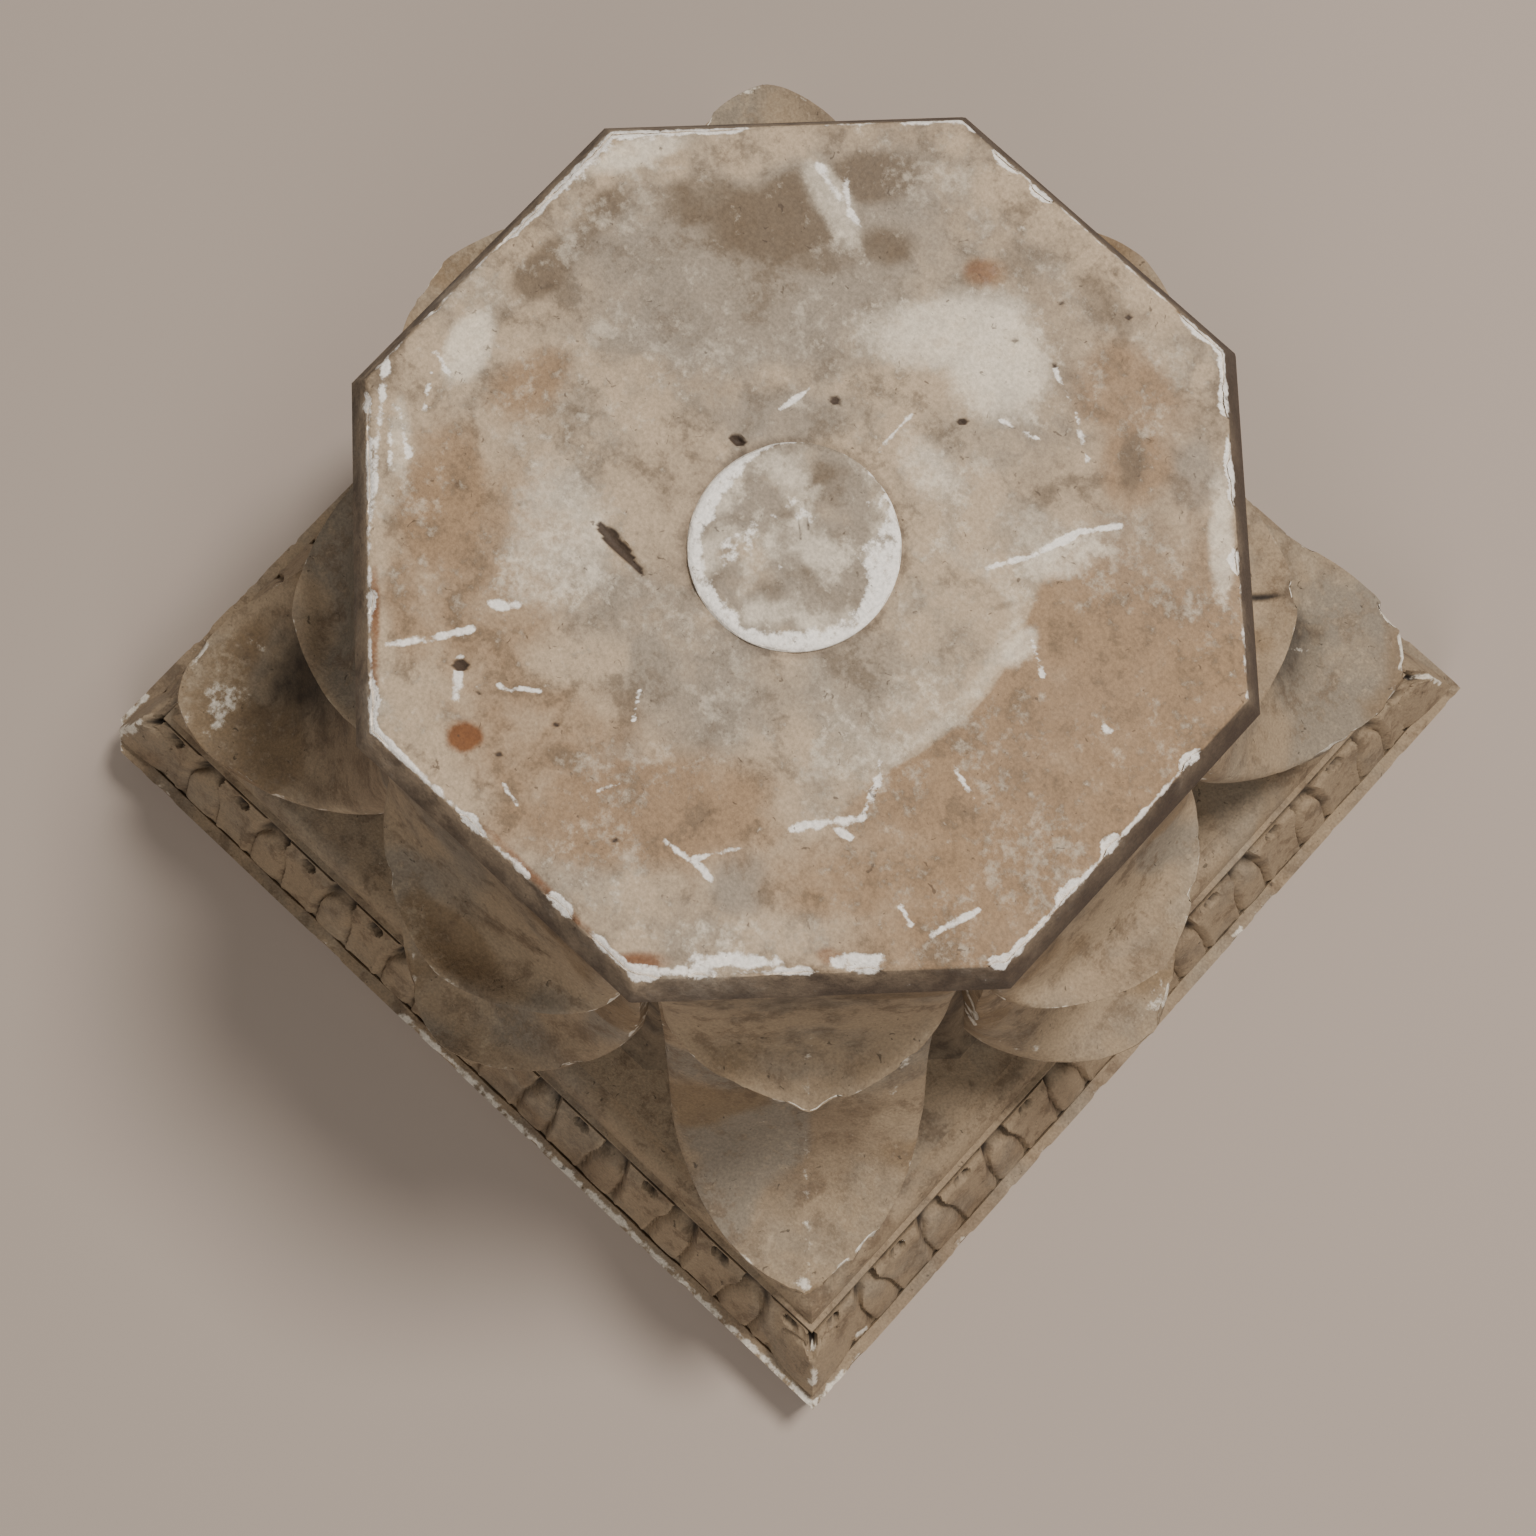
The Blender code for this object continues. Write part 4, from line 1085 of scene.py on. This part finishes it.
def aged_plaster(name, colours):
    """Cast gypsum plaster, sealed long ago and handled since: matt, chalky and uneven.

    Old shellac and sooty smudges give it soft warm and grey clouds a few centimetres
    across. Rubbing has laid bare pale flecks of a few millimetres, most on the arrises,
    and its hollows are darkened by old soiling and by painted shade.
    """
    material = bpy.data.materials.new(name)
    material.use_nodes = True
    tree = material.node_tree
    shader = tree.nodes["Principled BSDF"]
    place = add_node(tree, "ShaderNodeTexCoord").outputs["Object"]
    sources = {}
    for grain, (size, detail, roughness, distortion) in GRAINS.items():
        noise = add_node(tree, "ShaderNodeTexNoise", {
            "Vector": place, "Scale": 1 / size, "Detail": detail,
            "Roughness": roughness, "Distortion": distortion})
        sources[grain] = noise.outputs["Fac"]
    for painted in ("grey", "tan", "dark", "pale", "rust", "dirt_and_shade", "streak", "wear"):
        sources[painted] = add_node(tree, "ShaderNodeAttribute", attribute_name=painted).outputs["Fac"]
    colour = linear(colours["base"])
    for follows, ragged, amount, low, high, strength, tint in COATS:
        edge = add_node(tree, "ShaderNodeMath", {0: sources[ragged], 1: amount, 2: sources[follows]},
                        operation="MULTIPLY_ADD")
        share = add_node(tree, "ShaderNodeMapRange", {
            "Value": edge.outputs[0], "From Min": low, "From Max": high, "To Max": strength},
            interpolation_type="SMOOTHSTEP")
        mixed = add_node(tree, "ShaderNodeMix", {
            0: share.outputs["Result"], 6: colour, 7: linear(colours[tint])}, data_type="RGBA")
        colour = mixed.outputs[2]
    speck = add_node(tree, "ShaderNodeMapRange", {
        "Value": sources["specks"], "From Min": 0.31, "From Max": 0.25, "To Max": 0.6},
        interpolation_type="SMOOTHSTEP")
    mixed = add_node(tree, "ShaderNodeMix", {
        0: speck.outputs["Result"], 6: colour, 7: linear(colours["grime_and_shade"])}, data_type="RGBA")
    gritty = add_node(tree, "ShaderNodeMapRange", {
        "Value": sources["grit"], "From Min": 0.30, "From Max": 0.70, "To Min": 0.78, "To Max": 1.14})
    toned = add_node(tree, "ShaderNodeVectorMath", {0: mixed.outputs[2], "Scale": gritty.outputs["Result"]},
                     operation="SCALE")
    tree.links.new(toned.outputs[0], shader.inputs["Base Color"])
    shine = add_node(tree, "ShaderNodeMapRange", {
        "Value": sources["clouds"], "From Min": 0.35, "From Max": 0.65, "To Min": 0.88, "To Max": 0.70})
    tree.links.new(shine.outputs["Result"], shader.inputs["Roughness"])
    shader.inputs["IOR"].default_value = 1.50
    relief = add_node(tree, "ShaderNodeMath", {0: sources["grit"], 1: 0.35, 2: sources["flecks"]},
                      operation="MULTIPLY_ADD")
    bump = add_node(tree, "ShaderNodeBump", {
        "Height": relief.outputs[0], "Strength": 0.5, "Distance": 0.0011})
    tree.links.new(bump.outputs[0], shader.inputs["Normal"])
    return material


# The grime colours darken real dirt and painted shade alike
LEAF_COLOURS = {
    "base": "#9a8469", "deep": "#66503a", "cool": "#837665", "tan": "#80684b", "light": "#bba78b",
    "grime_and_shade": "#20160e", "fresh": "#e6dac8", "rust": "#8c5a32",
}
BED_COLOURS = {
    "base": "#b39c80", "deep": "#665440", "cool": "#8d7f6e", "tan": "#8f7152", "light": "#ecdcc4",
    "grime_and_shade": "#403125", "fresh": "#fdf4e8", "rust": "#6f3f17",
}


def dress(piece, material):
    piece.data.materials.clear()
    piece.data.materials.append(material)
    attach(piece, "root")
    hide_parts(NODE)


# Stage

def floor_material():
    """Pale matt studio floor."""
    material = bpy.data.materials.new("pale_matt_floor")
    material.use_nodes = True
    shader = material.node_tree.nodes["Principled BSDF"]
    shader.inputs["Base Color"].default_value = linear("#b0a093")
    shader.inputs["Roughness"].default_value = 0.9
    return material


def add_lamp(name, place, size, energy):
    """A round soft light that faces the middle of the cast."""
    lamp = bpy.data.lights.new(name, "AREA")
    lamp.shape = "DISK"
    lamp.size = size
    lamp.energy = energy
    lamp.color = (1.0, 0.985, 0.965)
    holder = bpy.data.objects.new(name, lamp)
    bpy.context.collection.objects.link(holder)
    holder.location = place
    holder.rotation_euler = (Vector((0, 0, 0.1)) - Vector(place)).to_track_quat("-Z", "Y").to_euler()


def set_stage():
    bpy.ops.mesh.primitive_plane_add(size=6, location=(0, 0, -0.0002))
    floor = bpy.context.object
    floor.name = "floor"
    floor.data.materials.append(floor_material())

    world = bpy.data.worlds.new("soft_room")
    bpy.context.scene.world = world
    world.use_nodes = True
    world.node_tree.nodes["Background"].inputs["Color"].default_value = linear("#f3f1ee")
    world.node_tree.nodes["Background"].inputs["Strength"].default_value = 0.30
    add_lamp("main_light", (0.23, 0.87, 2.33), 0.55, 56)
    add_lamp("front_fill", (1.0, -1.1, 1.3), 1.0, 10)

    lens = bpy.data.cameras.new("camera")
    lens.sensor_width = 36
    lens.lens = 56.25
    camera = bpy.data.objects.new("camera", lens)
    bpy.context.collection.objects.link(camera)
    camera.location = (0.1085, -0.1434, 1.067)
    camera.rotation_euler = (0.1478, -0.0100, 0.7480)
    bpy.context.scene.camera = camera


def main():
    set_stage()
    leaf_plaster = aged_plaster("sealed_cast_plaster", LEAF_COLOURS)
    bed_plaster = aged_plaster("rubbed_bed_plaster", BED_COLOURS)
    dress(model_abacus(), leaf_plaster)
    dress(model_tier("long_leaves", LONG_TIER, LONG_LEAF_ROWS, [model_bell()]), leaf_plaster)
    dress(model_tier("short_leaves", SHORT_TIER, SHORT_LEAF_ROWS), leaf_plaster)
    dress(model_neck(), bed_plaster)
    dress(model_disc(), bed_plaster)


main()
